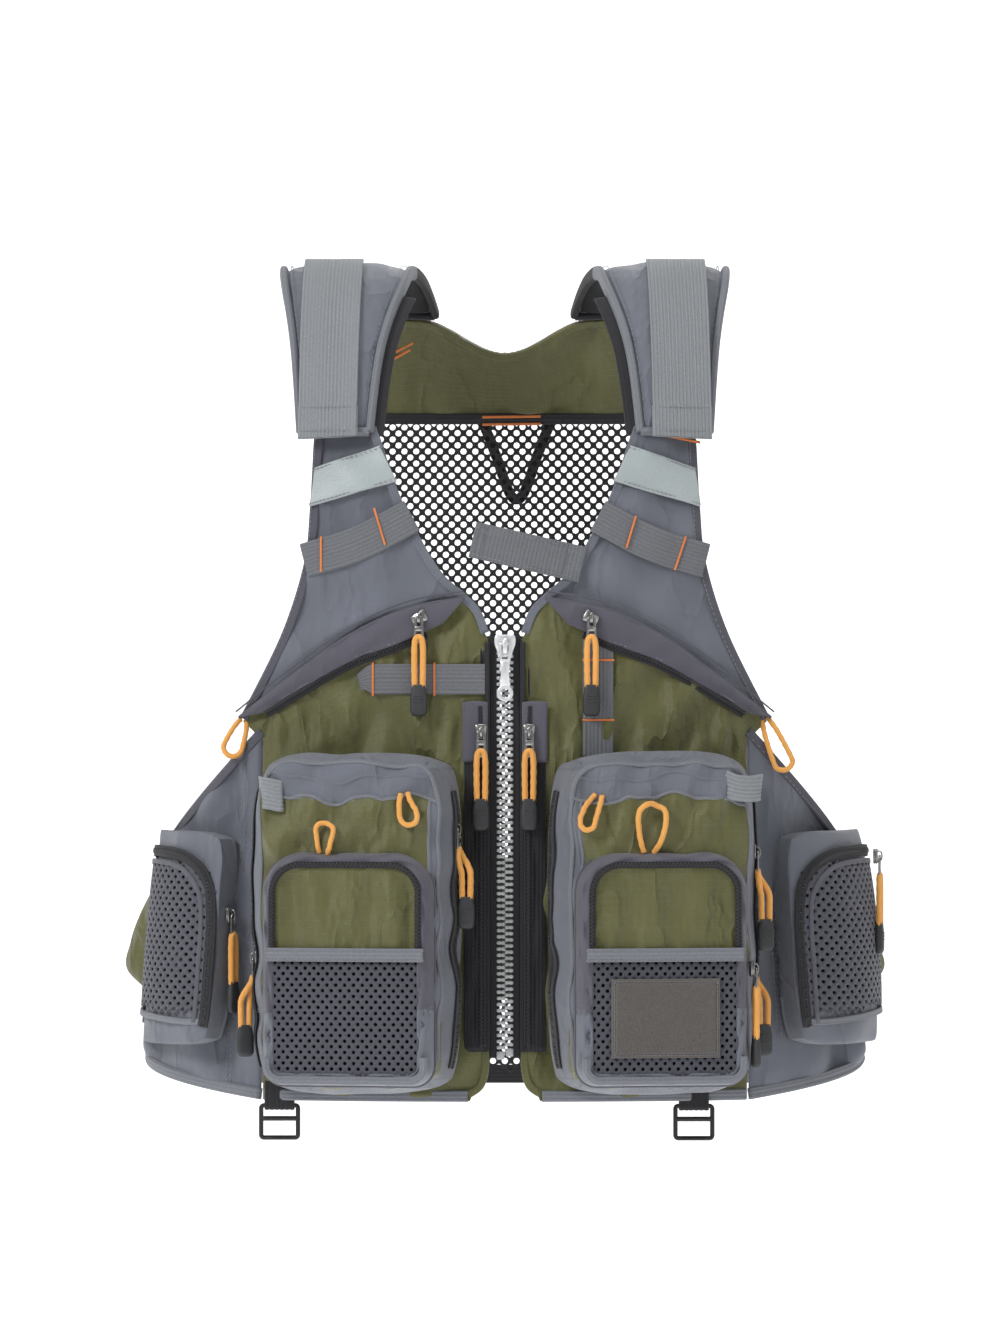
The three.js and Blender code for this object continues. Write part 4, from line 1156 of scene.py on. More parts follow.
@dataclass
class PocketZip:
    """One slider with its pull: a metal loop, a doubled cord and a moulded grip."""

    name: str
    lean: float = 0.0
    twist: float = 0.0
    stand: float = 0.0
    slider: tuple[float, float, float] = (0.008, 0.0026, 0.01)
    bar_out: float = 0.0014
    bridge: tuple[float, float, float] = (0.002, 0.0034, 0.0034)
    metal: tuple[float, float, float] = (0.0068, 0.0013, 0.017)
    cord_width: float = 0.0042
    grip: tuple[float, float, float] = (0.0112, 0.0056, 0.0205)

    def build(self) -> None:
        """Builds the slider and its pull on their own bodies."""
        self.place = Frame.of_joint(self.name + "_pull_swing")
        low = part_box("pull_" + self.name)[0]
        self.reach = float(self.place.origin[2] - low.z)
        self.build_slider()
        self.build_pull()

    def build_slider(self) -> None:
        """A tapered body whose edges are eased, with a flat arch for the bar of the pull."""
        wide, thick, long = self.slider
        parts = Parts()
        w, h = wide / 2, long / 2
        shape = np.array([[w, h * 0.8], [w * 0.8, h], [-w * 0.8, h], [-w, h * 0.8], [-w * 0.86, -h * 0.2],
            [-w * 0.7, -h], [w * 0.7, -h], [w * 0.86, -h * 0.2]])
        c, s = np.cos(self.lean), np.sin(self.lean)
        shape = shape @ np.array([[c, s], [-s, c]])
        back = -(thick + self.bar_out)
        ease = 0.0005
        levels = [(back, ease), (back + ease, 0.0), (back + thick * 0.32, 0.0),
            (back + thick * 0.36, ease * 1.6), (back + thick * 0.64, ease * 1.6),
            (back + thick * 0.68, 0.0), (back + thick - ease, 0.0), (back + thick, ease)]
        plate(parts, self.place, shape, levels, STEEL)
        width, reach, height = self.bridge
        t = np.linspace(0, np.pi, 15)
        arch = np.stack([np.zeros(15), -self.bar_out - 0.0003 + (height - 0.0002) * np.sin(t) ** 0.45,
            reach * np.cos(t)], axis=1)
        arch[:, 1] = np.minimum(arch[:, 1], -self.bar_out + height - 0.0005)
        parts.sweep(self.place.at(arch), self.place.across, oval(0.0009, width, 10, 5.0), STEEL)
        obj = parts.build("zip_slider_" + self.name)
        settle(obj, ["slider_" + self.name], "slider_" + self.name)

    def turned(self, local: Array) -> Array:
        """Points of the cord and the grip, twisted about the cord and held off the vest below the metal."""
        share = smooth(-0.012, -0.03, local[:, 2])
        c, s = np.cos(self.twist * share), np.sin(self.twist * share)
        out = local[:, 0] * s + local[:, 1] * c + self.stand * share
        return self.place.at(np.stack([local[:, 0] * c - local[:, 1] * s, out, local[:, 2]], axis=1))

    def build_pull(self) -> None:
        """The metal loop, the cord through its eye and the grip."""
        wide, thick, long = self.metal
        frame_path = rounded_rectangle(wide - 0.0018, long - 0.0012, 0.0016, 4)
        frame_path[:, 1] -= long / 2 - 0.0007
        frame_path[:, 0] *= 1 - 0.22 * smooth(-0.006, 0.001, frame_path[:, 1])
        ring = np.stack([frame_path[:, 0], np.zeros(len(frame_path)), frame_path[:, 1]], axis=1)
        parts = Parts()
        parts.sweep(self.place.at(ring), self.place.out, oval(0.0018, thick, 10, 4.0), STEEL, closed=True)
        cross = rounded_rectangle(wide - 0.0014, 0.0034, 0.0006, 2) - [0, 0.0072]
        plate(parts, self.place, cross,
            [(-thick / 2, 0.0004), (-thick / 2 + 0.0003, 0), (thick / 2 - 0.0003, 0), (thick / 2, 0.0004)],
            STEEL)
        metal = parts.build("pull_metal_" + self.name)
        settle(metal, ["pull_" + self.name], "pull_" + self.name)
        grip_wide, grip_thick, grip_long = self.grip
        top = -self.reach + grip_long
        half = 0.0027
        eye = -long + 0.0042
        knots = [[-half * 0.9, 0, top - 0.003], [-half, 0, top + 0.004], [-half * 1.05, 0, eye - 0.008],
            [-half * 0.72, 0, eye - 0.0012], [0, 0, eye + 0.0004], [half * 0.72, 0, eye - 0.0012],
            [half * 1.05, 0, eye - 0.008], [half, 0, top + 0.004], [half * 0.9, 0, top - 0.003]]
        path = self.turned(even(spline(knots, np.linspace(0, 1, 160)), 90))
        tube = Parts()
        cord_tube(tube, path, self.cord_width, CORD)
        cord = tube.build("pull_cord_" + self.name)
        settle(cord, (), "pull_" + self.name)
        handle = Parts()
        t, level = np.linspace(0, 1, 22), np.linspace(top, -self.reach, 22)
        swell = 0.78 + 0.22 * smooth(0.0, 0.45, t)
        swell = swell * np.sqrt(np.clip(1 - np.clip((t - 0.82) / 0.19, 0, 1) ** 2 * 0.75, 0, 1))
        line = self.turned(np.stack([np.zeros(22), np.zeros(22), level], axis=1))
        facing = self.place.out * np.cos(self.twist) - self.place.across * np.sin(self.twist)
        handle.sweep(line, facing, oval(grip_wide, grip_thick, 24, 3.2), GRIP, scale=swell)
        for step in (0.35, 0.45, 0.55):
            band = self.turned(np.array([[x, grip_thick / 2 * 0.93,
                top - grip_long * step] for x in np.linspace(-0.0028, 0.0028, 7)]))
            handle.sweep(band, facing, oval(0.0009, 0.0009, 8), GRIP)
        grip = handle.build("pull_grip_" + self.name)
        settle(grip, (), "pull_" + self.name)


# ---- Back ----------------------------------------------------------------------------------


@dataclass
class Back:
    """The olive yoke inside the neck, the open net below it, the rear pouch and the net's hanger."""

    yoke: tuple = ((140, -30, -140, -30, -9), (134, -58, -134, -58, -5), (127, -88, -127, -88, 0))
    net_edge: tuple = ((127, -89.5), (128, -153), (132, -191), (146, -238), (157, -292), (157, -378),
        (157, -540))
    net_pitch: tuple[float, float] = (0.008, 0.0041)
    net_hole: float = 0.0044
    pouch_start: float = 108.0
    pouch_top: float = -0.388
    pouch_height: float = 0.096
    hanger: tuple[float, float, float, float] = (0.008, -0.093, 0.023, 0.054)

    def build(self) -> None:
        """Builds the whole back."""
        self.build_yoke()
        self.build_net()
        self.build_pouch()
        self.build_hanger()

    def neck(self, x: Array) -> Array:
        """The neck's height: level under the shoulder pads and dipping by a squared cosine between them."""
        return -0.0265 - 0.022 * np.cos(np.pi / 2 * np.clip(x / 0.06, -1, 1)) ** 2

    def build_yoke(self) -> None:
        """A satin ripstop yoke with soft upright folds, bound along the neck."""
        u, v = span(150, 34)
        x, z = rows_between(self.yoke, u, v)
        z = z + (self.neck(x) - z[:1]) * (1 - v)
        folds = Ripple(3, 0.0022, 0.04, 0.3, 11).at(x, z) * smooth(0, 0.15, v) * smooth(1, 0.85, v)
        parts = Parts()
        outer = FORM.raised(FORM.back_face, x, z, 0.0016 + folds)
        parts.shell(outer, FORM.raised(FORM.back_face, x, z, 0.0006 + folds), OLIVE)
        obj = parts.build("back_yoke_cloth")
        settle(obj, ["back_yoke"])
        trim = Parts()
        neck = [(x, float(self.neck(np.array(x * MM))) / MM - 1.0) for x in np.linspace(-88, 88, 15)]
        line = Line.on(FORM.back_face, neck, 0.0011, 90)
        strap(trim, line, 0.0052, 0.0034, OLIVE)
        seam = Line.on(FORM.back_face, [(-126, -88.8), (0, -88.8), (126, -88.8)], 0.0012, 90)
        strap(trim, seam, 0.0052, 0.0036, BLACK_TAPE)
        stitch(trim, line.moved(0.0022, 0.0018), THREAD)
        for level in (-84.5, -87.5):
            seam = Line.on(FORM.back_face, [(-124, level), (0, level), (124, level)], 0.002, 80)
            stitch(trim, seam, OLIVE_THREAD)
        settle(trim.build("back_yoke_trim"))
        tacks = Parts()
        marks = [((-15, -88.5), (24, -88.0)), ((-15, -93.5), (24, -93.0)), ((-77, -47), (-62, -39.5)),
            ((-77, -51), (-64, -44)), ((75, -38.5), (91, -49)), ((74, -43), (88, -52)),
            ((-90, -94), (-82, -94))]
        for a, b in marks:
            for lift in (-0.0006, 0.0026):
                seam = Line.on(FORM.back_face, [a, b], lift, 24)
                bartack(tacks, seam, TACK, 0.0022)
        settle(tacks.build("back_bartacks"))

    def build_net(self) -> None:
        """A net with real holes between solid bands, hung from the yoke to the hem."""
        edge = np.array(self.net_edge) * MM

        def inside(x: Array, z: Array) -> Array:
            """Whether a hole lies clear of the bands."""
            half = np.interp(-z, -edge[:, 1], edge[:, 0]) - 0.0045
            return (np.abs(x) < half) & (z < -0.0945) & (z > -0.531)

        def place(x: Array, z: Array, lift: float) -> Array:
            """A point of the net."""
            wave = Ripple(5, 0.0012, 0.16, 0.2, 7).at(x, z)
            return FORM.raised(FORM.back_face, x, z, lift + 0.0005 + wave)

        parts = Parts()
        area = (-0.16, 0.16, -0.535, -0.091)
        count = holed(parts, place, area, inside, self.net_pitch, self.net_hole, 0.0009, BACK_NET)
        log.info("back net: %d holes", count)
        band = Parts()
        top = Line.on(FORM.back_face, [(-126.5, -91.2), (0, -91.2), (126.5, -91.2)], 0.0009, 90)
        strap(band, top, 0.0055, 0.0022, BACK_NET)
        foot = Line.on(FORM.back_face, [(-156, -535), (0, -535), (156, -535)], 0.0009, 90)
        strap(band, foot, 0.0125, 0.003, BLACK_TAPE)
        stitch(band, foot.moved(0.003, 0.0016), THREAD)
        for sign in (-1, 1):
            places = [(sign * (x - 3.4), z) for x, z in self.net_edge]
            side = Line.on(FORM.back_face, places, 0.001, 150)
            strap(band, side, 0.0105, 0.0032, BLACK_TAPE)
            stitch(band, side.moved(0.003, 0.0017), THREAD)
            stitch(band, side.moved(-0.003, 0.0017), THREAD)
        net = parts.build("back_net_cloth")
        settle(net, ["back_mesh"])
        settle(band.build("back_net_bands"))

    def pouch_depth(self, u: Array, v: Array) -> Array:
        """How far the pouch stands out: deepest near its foot, deeper in the middle than at its ends."""
        full = 0.74 + 0.26 * np.sin(np.pi * u)
        return full * spline(np.array([[8], [22], [35], [46], [50], [14]]) * MM, v)[..., 0]

    def build_pouch(self) -> None:
        """A sagging ripstop bag across the back, with its zip along the top."""
        u, v = span(260, 60)
        angle = self.pouch_start + (360 - 2 * self.pouch_start) * u
        z = self.pouch_top - self.pouch_height * v
        run = (angle - 180) / 180 * 0.36
        folds = Ripple(11, 0.0022, 0.05, 0.16, 12).at(run, z) * np.sin(np.pi * v) ** 0.5
        rim = np.minimum(smooth(0, 0.012, u), smooth(1, 0.988, u)) * smooth(1.0, 0.93, v) ** 0.6
        depth = self.pouch_depth(u, v) * (0.12 + 0.88 * rim) + folds * rim
        outer = FORM.raised(FORM.around, angle, z, 0.005 + depth)
        inner = FORM.raised(FORM.around, angle, z, np.full(u.shape, 0.0048))
        parts = Parts()
        parts.shell(outer, inner, OLIVE)
        obj = parts.build("rear_pouch_bag")
        settle(obj, ["back_pouch"])
        trim = Parts()
        a = np.linspace(self.pouch_start + 5, 355 - self.pouch_start, 9)
        for drop, width, finish in ((0.0075, 0.015, BLACK_TAPE),):
            places = [(x, self.pouch_top - drop) for x in a]
            t = (a - self.pouch_start) / (360 - 2 * self.pouch_start)
            lift = float(self.pouch_depth(t, np.full(9, drop / self.pouch_height)).mean())
            line = Line.on(FORM.around, places, 0.0075 + lift, 160, mm=False)
            strap(trim, line, width, 0.0016, finish)
            coil(trim, line.moved(0, 0.0009), COIL)
        settle(trim.build("rear_pouch_zip"))

    def build_hanger(self) -> None:
        """A braided V that hangs from the yoke's seam and stands a little off the back."""
        x, top, half, drop = self.hanger
        parts = Parts()
        heads = FORM.raised(FORM.back_face, np.array([x - half, x + half]), np.array([top, top]), 0.0052)
        foot = FORM.raised(FORM.back_face, np.array([x]), np.array([top - drop]), 0.0155)[0]
        bend = foot + [0, 0, 0.004]
        knots = [heads[0], heads[0] * 0.5 + bend * 0.5 + [-0.002, 0, 0], bend + [-0.006, 0, 0.003], foot,
            bend + [0.006, 0, 0.003], heads[1] * 0.5 + bend * 0.5 + [0.002, 0, 0], heads[1]]
        path = even(spline(knots, np.linspace(0, 1, 200)), 110)
        out = unit(np.cross([1.0, 0, 0], unit(heads.mean(0) - foot)))
        out = out if out[1] > 0 else -out
        wave = 1 + 0.1 * np.abs(np.sin(np.linspace(0, np.pi * 26, 110)))
        parts.sweep(path, out, ribbed(0.0066, 0.0032, 4, 0.0008), BACK_NET, scale=wave)
        bar = Line(np.linspace(heads[0] + [-0.003, 0, 0.001], heads[1] + [0.003, 0, 0.001], 30),
            np.tile([0.0, 1, 0], (30, 1)))
        strap(parts, bar, 0.007, 0.003, BACK_NET, 5)
        settle(parts.build("landing_net_hanger"), ["net_hanger"])


COIL_TURN = rounded_block((0.0034, 0.0014, 0.00075), [(0, 0.7), (0.5, 1), (1, 0.7)], 6)


def coil(parts: Parts, line: Line, finish: Finish, pitch: float = 0.00125) -> None:
    """Lays a zip's coil along a line: close turns, each leaning the other way from the last."""
    places, axes = line.spaced(pitch)
    lean = axes.copy()
    flip = np.where(np.arange(len(places)) % 2 == 0, 0.25, -0.25)[:, None]
    lean[:, 0] = unit(axes[:, 0] + flip * axes[:, 2])
    parts.stamp(COIL_TURN, places, lean, finish)


# ---- Front ---------------------------------------------------------------------------------


@dataclass
class Front:
    """The grey yokes, the olive chest panels, the storm flaps and what is sewn on them."""

    yoke: tuple = ((123, -104, 84, -103, 0), (124, -114, 81, -112, 0), (126, -153, 69, -147, 2),
        (130, -191, 54, -178, 6), (145, -238, 40, -200, 11), (172, -292, 26, -213, 16))
    chest: tuple = ((170.5, -293.5, 26, -214.5, 16), (157.25, -306, 10.8, -240, 10),
        (157.25, -340, 10.8, -300, 0), (157.25, -420, 10.8, -400, 0), (157.25, -512, 10.8, -512, 0),
        (157.25, -540, 22.8, -540, 0))
    flap_foot: tuple = ((40, -230), (69, -243), (98, -254), (127, -270), (156, -288))
    gear_tacks: tuple = ((((-118, -174), (-118, -196)), ((-84, -156), (-77, -179))),
        (((84, -161), (78, -181)), ((116, -174), (109, -195))))

    def build(self) -> None:
        """Builds both fronts."""
        for side in SIDES:
            self.build_yoke(side)
            self.build_chest(side)
            self.build_flap(side)
            self.build_edges(side)
            self.build_bands(side)
        self.build_chest_webbing()

    def build_yoke(self, side: Side) -> None:
        """A smooth nylon yoke that drapes in long slanting folds."""
        u, v = span(60, 110)
        x, z = rows_between(self.yoke, u, v, side.sign)
        rim = smooth(0, 0.12, u) * smooth(1, 0.88, u) * smooth(0, 0.1, v) * smooth(1, 0.93, v)
        folds = Ripple(21 + side.sign, 0.0014, 0.07, 0.05, 10).at(x + side.sign * z * 0.5,
            z * 0.6 - side.sign * x * 0.35)
        parts = Parts()
        outer = FORM.raised(FORM.front_face, x, z, 0.0018 + folds * rim)
        parts.shell(outer, FORM.raised(FORM.front_face, x, z, 0.0004 + folds * rim), GREY)
        obj = parts.build("front_yoke_cloth_" + side.word)
        settle(obj, ["front_yoke_" + side.word])

    def build_chest(self, side: Side) -> None:
        """A ripstop chest panel, gathered a little above the big pocket and turned under at the hem."""
        u, v = span(110, 150)
        x, z = rows_between(self.chest, u, v, side.sign, bent=True)
        gather = smooth(-0.275, -0.3, z) * smooth(-0.335, -0.3, z)
        pleats = 0.0016 * np.sin(x * 2 * np.pi / 0.0165 + 3 * np.sin(x * 40)) * gather
        folds = Ripple(31 + side.sign, 0.0014, 0.05, 0.06, 10).at(x, z) + pleats
        rim = smooth(0, 0.06, u) * smooth(1, 0.94, u) * smooth(0, 0.04, v) * smooth(1, 0.97, v)
        parts = Parts()
        outer = FORM.raised(FORM.front_face, x, z, 0.0018 + folds * rim)
        parts.shell(outer, FORM.raised(FORM.front_face, x, z, 0.0004 - 0.0036 * rim), OLIVE)
        obj = parts.build("chest_panel_cloth_" + side.word)
        settle(obj, ["chest_panel_" + side.word])

    def build_flap(self, side: Side) -> None:
        """The storm flap over the slanting chest zip, with its zip's tape and coil below it."""
        top = np.array([[26, -213.5], [62, -220], [99, -237], [136, -263], [171, -291]])
        foot = np.array(self.flap_foot)
        u, v = span(120, 16)
        a, b = spline(top * MM, u), spline(foot * MM, u)
        at = a + (b - a) * v[..., None]
        belly = (
            0.0012 * np.sin(np.pi * v)
            + Ripple(41 + side.sign, 0.0005, 0.03, 0.02, 8).at(at[..., 0], at[..., 1])
        )
        parts = Parts()
        x, z = side.sign * at[..., 0], at[..., 1]
        outer = FORM.raised(FORM.front_face, x, z, 0.0064 + belly)
        parts.shell(outer, FORM.raised(FORM.front_face, x, z, 0.005 + belly * 0.7), FLAP)
        places = [(side.sign * px, pz) for px, pz in top]
        seam = Line.on(FORM.front_face, places, 0.0056, 110)
        parts.sweep(seam.points, seam.normals, oval(0.0022, 0.0018, 10), GREY_DARK)
        lower = seam.moved(-side.sign * 0.0045, -0.0001)
        parts.sweep(lower.points, lower.normals, oval(0.0012, 0.001, 8), GREY_DARK)
        hem = Line.on(FORM.front_face, [(side.sign * px, pz + 1.6) for px, pz in foot], 0.0062, 110)
        stitch(parts, hem, THREAD)
        obj = parts.build("storm_flap_" + side.word)
        settle(obj)
        zip_parts = Parts()
        line = Line.on(FORM.front_face, [(side.sign * px, pz - 1.2) for px, pz in foot], 0.005,
            110).cut(0.06, 0.97)
        strap(zip_parts, line, 0.0072, 0.001, BLACK_TAPE)
        coil(zip_parts, line.moved(0, 0.0008), COIL)
        settle(zip_parts.build("chest_zip_" + side.word))

    def build_edges(self, side: Side) -> None:
        """Folded bindings along the neck and the armhole, with a row of stitches on each."""
        s = side.sign
        parts = Parts()
        neck = [(s * (row[2] + 2.2), row[3] + 0.5) for row in self.yoke]
        neck[-1] = (s * 27.5, -212.5)
        neck += [(s * 18.5, -222), (s * 13.0, -236)]
        line = Line.on(FORM.front_face, neck, 0.0013, 120)
        strap(parts, line, 0.0056, 0.0032, GREY)
        stitch(parts, line.moved(0.0018, 0.0017), THREAD)
        arm = [(s * (row[0] - 2.4), row[1]) for row in self.yoke]
        arm_line = Line.on(FORM.front_face, arm, 0.0013, 120)
        strap(parts, arm_line, 0.0062, 0.0032, GREY_DARK)
        stitch(parts, arm_line.moved(0.0018, 0.0017), THREAD)
        hem = Line.on(FORM.front_face, [(s * 24, -536.8), (s * 90, -536.8), (s * 156, -536.8)], 0.0012, 90)
        strap(parts, hem, 0.0075, 0.005, BINDING)
        centre = [(s * 24, -536), (s * 16, -530), (s * 12.9, -519), (s * 12.9, -505)]
        strap(parts, Line.on(FORM.front_face, centre, 0.0012, 50), 0.005, 0.0034, OLIVE)
        settle(parts.build("front_bindings_" + side.word))

    def build_bands(self, side: Side) -> None:
        """The reflective band and the gear webbing across the yoke, with their bartacks."""
        s = side.sign
        u, v = span(60, 14)
        x, z = rows_between(((123, -129, 81, -115, 0), (126, -154, 70, -138, 0)), u, v, s)
        shine = Parts()
        wave = Ripple(51 + s, 0.0004, 0.05, 0.04, 7).at(x, z)
        outer = FORM.raised(FORM.front_face, x, z, 0.0054 + wave)
        shine.shell(outer, FORM.raised(FORM.front_face, x, z, 0.0036 + wave), SHINE)
        for level in (0.06, 0.94):
            a = np.array([123, -129]) * (1 - level) + np.array([126, -154]) * level
            b = np.array([81, -115]) * (1 - level) + np.array([70, -138]) * level
            stitch(shine, Line.on(FORM.front_face, [(s * a[0], a[1]), (s * b[0], b[1])], 0.0057, 40), THREAD)
        settle(shine.build("reflective_strip_" + side.word), ["reflective_band_" + side.word])
        web = Parts()
        places = [(s * 129.5, -189), (s * 95, -178.5), (s * 60, -160.5)]
        line = Line.on(FORM.front_face, places, 0.0044, 80)
        lift = 0.001 * np.abs(np.sin(np.linspace(0, np.pi * 3, 80)))[:, None]
        line = Line(line.points + line.normals * lift, line.normals)
        strap(web, line, 0.0225, 0.0016, WEBBING_DARK, 7)
        settle(web.build("gear_loops_" + side.word), ["gear_webbing_" + side.word])
        tacks = Parts()
        for a, b in self.gear_tacks[0 if s < 0 else 1]:
            bartack(tacks, Line.on(FORM.front_face, [a, b], 0.0066, 30), TACK)
        if s > 0:
            bartack(tacks, Line.on(FORM.front_face, [(88, -105), (108, -109), (126, -112.5)], 0.0046, 40),
                TACK, 0.002)
        settle(tacks.build("gear_bartacks_" + side.word))

    def build_chest_webbing(self) -> None:
        """The webbing across the right chest and the upright one on the left, both bartacked."""
        right = Parts()
        places = [(-94, -268), (-84, -266), (-50, -266), (-12, -266)]
        line = Line.on(FORM.front_face, places, 0.004, 80)
        swell = 1 - 0.45 * smooth(0.14, 0.0, np.linspace(0, 1, 80))
        right.sweep(line.points, line.normals, ribbed(0.0198, 0.0016, 6, 0.0003), WEBBING_DARK, scale=swell)
        settle(right.build("tool_webbing_right"), ["chest_webbing_right"])
        left = Parts()
        line = Line.on(FORM.front_face, [(60, -236), (60, -280), (60, -316)], 0.004, 60)
        strap(left, line, 0.0198, 0.0016, WEBBING_DARK, 6)
        settle(left.build("tool_webbing_left"), ["chest_webbing_left"])
        tacks = Parts()
        for a, b in (((-85, -255.5), (-85, -276.5)), ((-45.5, -255.5), (-45.5, -276.5)),
                ((50, -253.5), (70, -253.5)), ((50, -292.5), (70, -292.5))):
            bartack(tacks, Line.on(FORM.front_face, [a, b], 0.0051, 30), TACK)
        settle(tacks.build("chest_bartacks"))


# ---- Sides ---------------------------------------------------------------------------------


@dataclass
class SidePanels:
    """The grey panels under the arms, cut low at the armhole."""

    seam: float = 0.158
    underarm: float = -0.378
    start_lift: float = 0.08
    hem_rise: float = 0.022

    def top(self, share: Array) -> Array:
        """The armhole's height at a share of the way from the middle of the side to its seams."""
        return self.underarm + self.start_lift * np.abs(share) ** 1.7

    def build(self) -> None:
        """Builds both panels with their bindings."""
        for side in SIDES:
            start = FORM.angle_at(self.seam + 0.0008, self.underarm)
            u, v = span(90, 60)
            across = 2 * u - 1
            top = self.top(across)
            z = top + (HEM + self.hem_rise * (1 - np.abs(across)) - top) * v
            edge = np.degrees(np.arcsin(((self.seam + 0.0008) / FORM.width(z)) ** (FORM.power / 2)))
            angle = side.sign * (edge + (180 - 2 * edge) * u)
            rim = smooth(0, 0.08, u) * smooth(1, 0.92, u) * smooth(0, 0.08, v) * smooth(1, 0.92, v)
            run = u * 0.24
            folds = Ripple(61 + side.sign, 0.0024, 0.05, 0.14, 10).at(run, z) * rim
            parts = Parts()
            outer = FORM.raised(FORM.around, angle, z, 0.0018 + folds)
            parts.shell(outer, FORM.raised(FORM.around, angle, z, 0.0004 + folds), GREY)
            obj = parts.build("side_panel_cloth_" + side.word)
            settle(obj, ["side_panel_" + side.word])
            self.build_edges(side, start)

    def build_edges(self, side: Side, start: float) -> None:
        """Binds the armhole and the hem of one panel, and stitches its seams."""
        parts = Parts()
        t = np.linspace(0, 1, 17)
        share = 2 * t - 1
        angle = side.sign * (start + (180 - 2 * start) * t)
        arm = np.stack([angle, self.top(share) - 0.0024], axis=1)
        line = Line.on(FORM.around, arm, 0.0012, 150, mm=False)
        strap(parts, line, 0.0065, 0.0034, GREY_DARK)
        stitch(parts, line.moved(0.0018, 0.0018), THREAD)
        low_start = FORM.angle_at(self.seam + 0.0008, HEM)
        angle = side.sign * (low_start + (180 - 2 * low_start) * t)
        hem = np.stack([angle, HEM + self.hem_rise * (1 - np.abs(share)) + 0.0034], axis=1)
        foot = Line.on(FORM.around, hem, 0.0012, 150, mm=False)
        strap(parts, foot, 0.0075, 0.0034, BINDING)
        stitch(parts, foot.moved(0.0022, 0.0018), THREAD)
        for place in (0.045, 0.955):
            a = side.sign * (start + (180 - 2 * start) * place)
            low = HEM + 0.008
            high = float(self.top(np.array(2 * place - 1))) - 0.006
            for shift in (0.0, 0.9):
                seam = [(a + side.sign * shift, high), (a + side.sign * shift, (high + low) / 2),
                    (a + side.sign * shift, low)]
                stitch(parts, Line.on(FORM.around, seam, 0.002, 80, mm=False), THREAD)
        settle(parts.build("side_bindings_" + side.word))


# ---- Padded pieces -------------------------------------------------------------------------


def swell(obj: bpy.types.Object, pressure: float, cap: float, voxel: float = 0.005, frames: int = 20) -> None:
    """Blows a closed cloth up a little and lets it wrinkle, then keeps the result as its mesh.

    The mesh is remeshed in small even faces and run as a cloth with an inside pressure and no gravity. Each
    point then moves from where it was towards where it went by at most the cap.

    Args:
        obj: the piece, which loses its flat map and its face finishes.
        pressure: the cloth's inside pressure.
        cap: the furthest that a point moves.
        voxel: the size of the small faces.
        frames: how long the cloth moves.
    """
    scene = bpy.context.scene
    bpy.context.view_layer.objects.active = obj
    mesh = obj.data
    mesh.remesh_voxel_size = voxel
    with bpy.context.temp_override(object=obj, active_object=obj, selected_objects=[obj]):
        bpy.ops.object.voxel_remesh()
    before = read_points(obj.data)
    cloth = obj.modifiers.new("cloth", "CLOTH")
    settings = cloth.settings
    settings.quality = 5
    settings.use_pressure = True
    settings.uniform_pressure_force = pressure
    settings.tension_stiffness = 12
    settings.compression_stiffness = 12
    settings.shear_stiffness = 5
    settings.bending_stiffness = 0.6
    settings.effector_weights.gravity = 0
    cloth.point_cache.frame_start = 1
    cloth.point_cache.frame_end = frames
    for number in range(1, frames + 1):
        scene.frame_set(number)
    shown = obj.evaluated_get(bpy.context.evaluated_depsgraph_get())
    after = read_points(shown.data)
    obj.modifiers.remove(cloth)
    scene.frame_set(1)
    move = after - before
    far = np.linalg.norm(move, axis=1, keepdims=True)
    move *= cap * np.tanh(far / cap) / np.maximum(far, 1e-9)
    obj.data.vertices.foreach_set("co", (before + move).astype(np.float32).ravel())
    refine = obj.modifiers.new("refine", "SUBSURF")
    refine.levels = refine.render_levels = 1
    shown = obj.evaluated_get(bpy.context.evaluated_depsgraph_get())
    finer = bpy.data.meshes.new_from_object(shown)
    obj.modifiers.remove(refine)
    old = obj.data
    obj.data = finer
    bpy.data.meshes.remove(old)
    obj.data.polygons.foreach_set("use_smooth", np.ones(len(obj.data.polygons), bool))


def read_points(mesh: bpy.types.Mesh) -> Array:
    """A mesh's points as rows."""
    flat = np.zeros(len(mesh.vertices) * 3, np.float32)
    mesh.vertices.foreach_get("co", flat)
    return flat.reshape(-1, 3).astype(float)


def redress(obj: bpy.types.Object, finishes: Sequence[Finish], choose: Callable[[Array], Array],
        flat: Callable[[Array], Array]) -> None:
    """Gives a swollen mesh its finishes and flat map again, from where its faces and corners are.

    Args:
        obj: the piece.
        finishes: what it can be made of.
        choose: the finish's number for each face, from the faces' middles.
        flat: the flat place of each point, from the points.
    """
    mesh = obj.data
    mesh.materials.clear()
    for finish in finishes:
        mesh.materials.append(finish.material())
    middles = np.zeros(len(mesh.polygons) * 3, np.float32)
    mesh.polygons.foreach_get("center", middles)
    mesh.polygons.foreach_set("material_index", choose(middles.reshape(-1, 3)).astype(np.int32))
    index = np.zeros(len(mesh.loops), np.int32)
    mesh.loops.foreach_get("vertex_index", index)
    layer = mesh.uv_layers.get("UVMap") or mesh.uv_layers.new(name="UVMap")
    layer.data.foreach_set("uv", flat(read_points(mesh))[index].astype(np.float32).ravel())
    mesh.update()


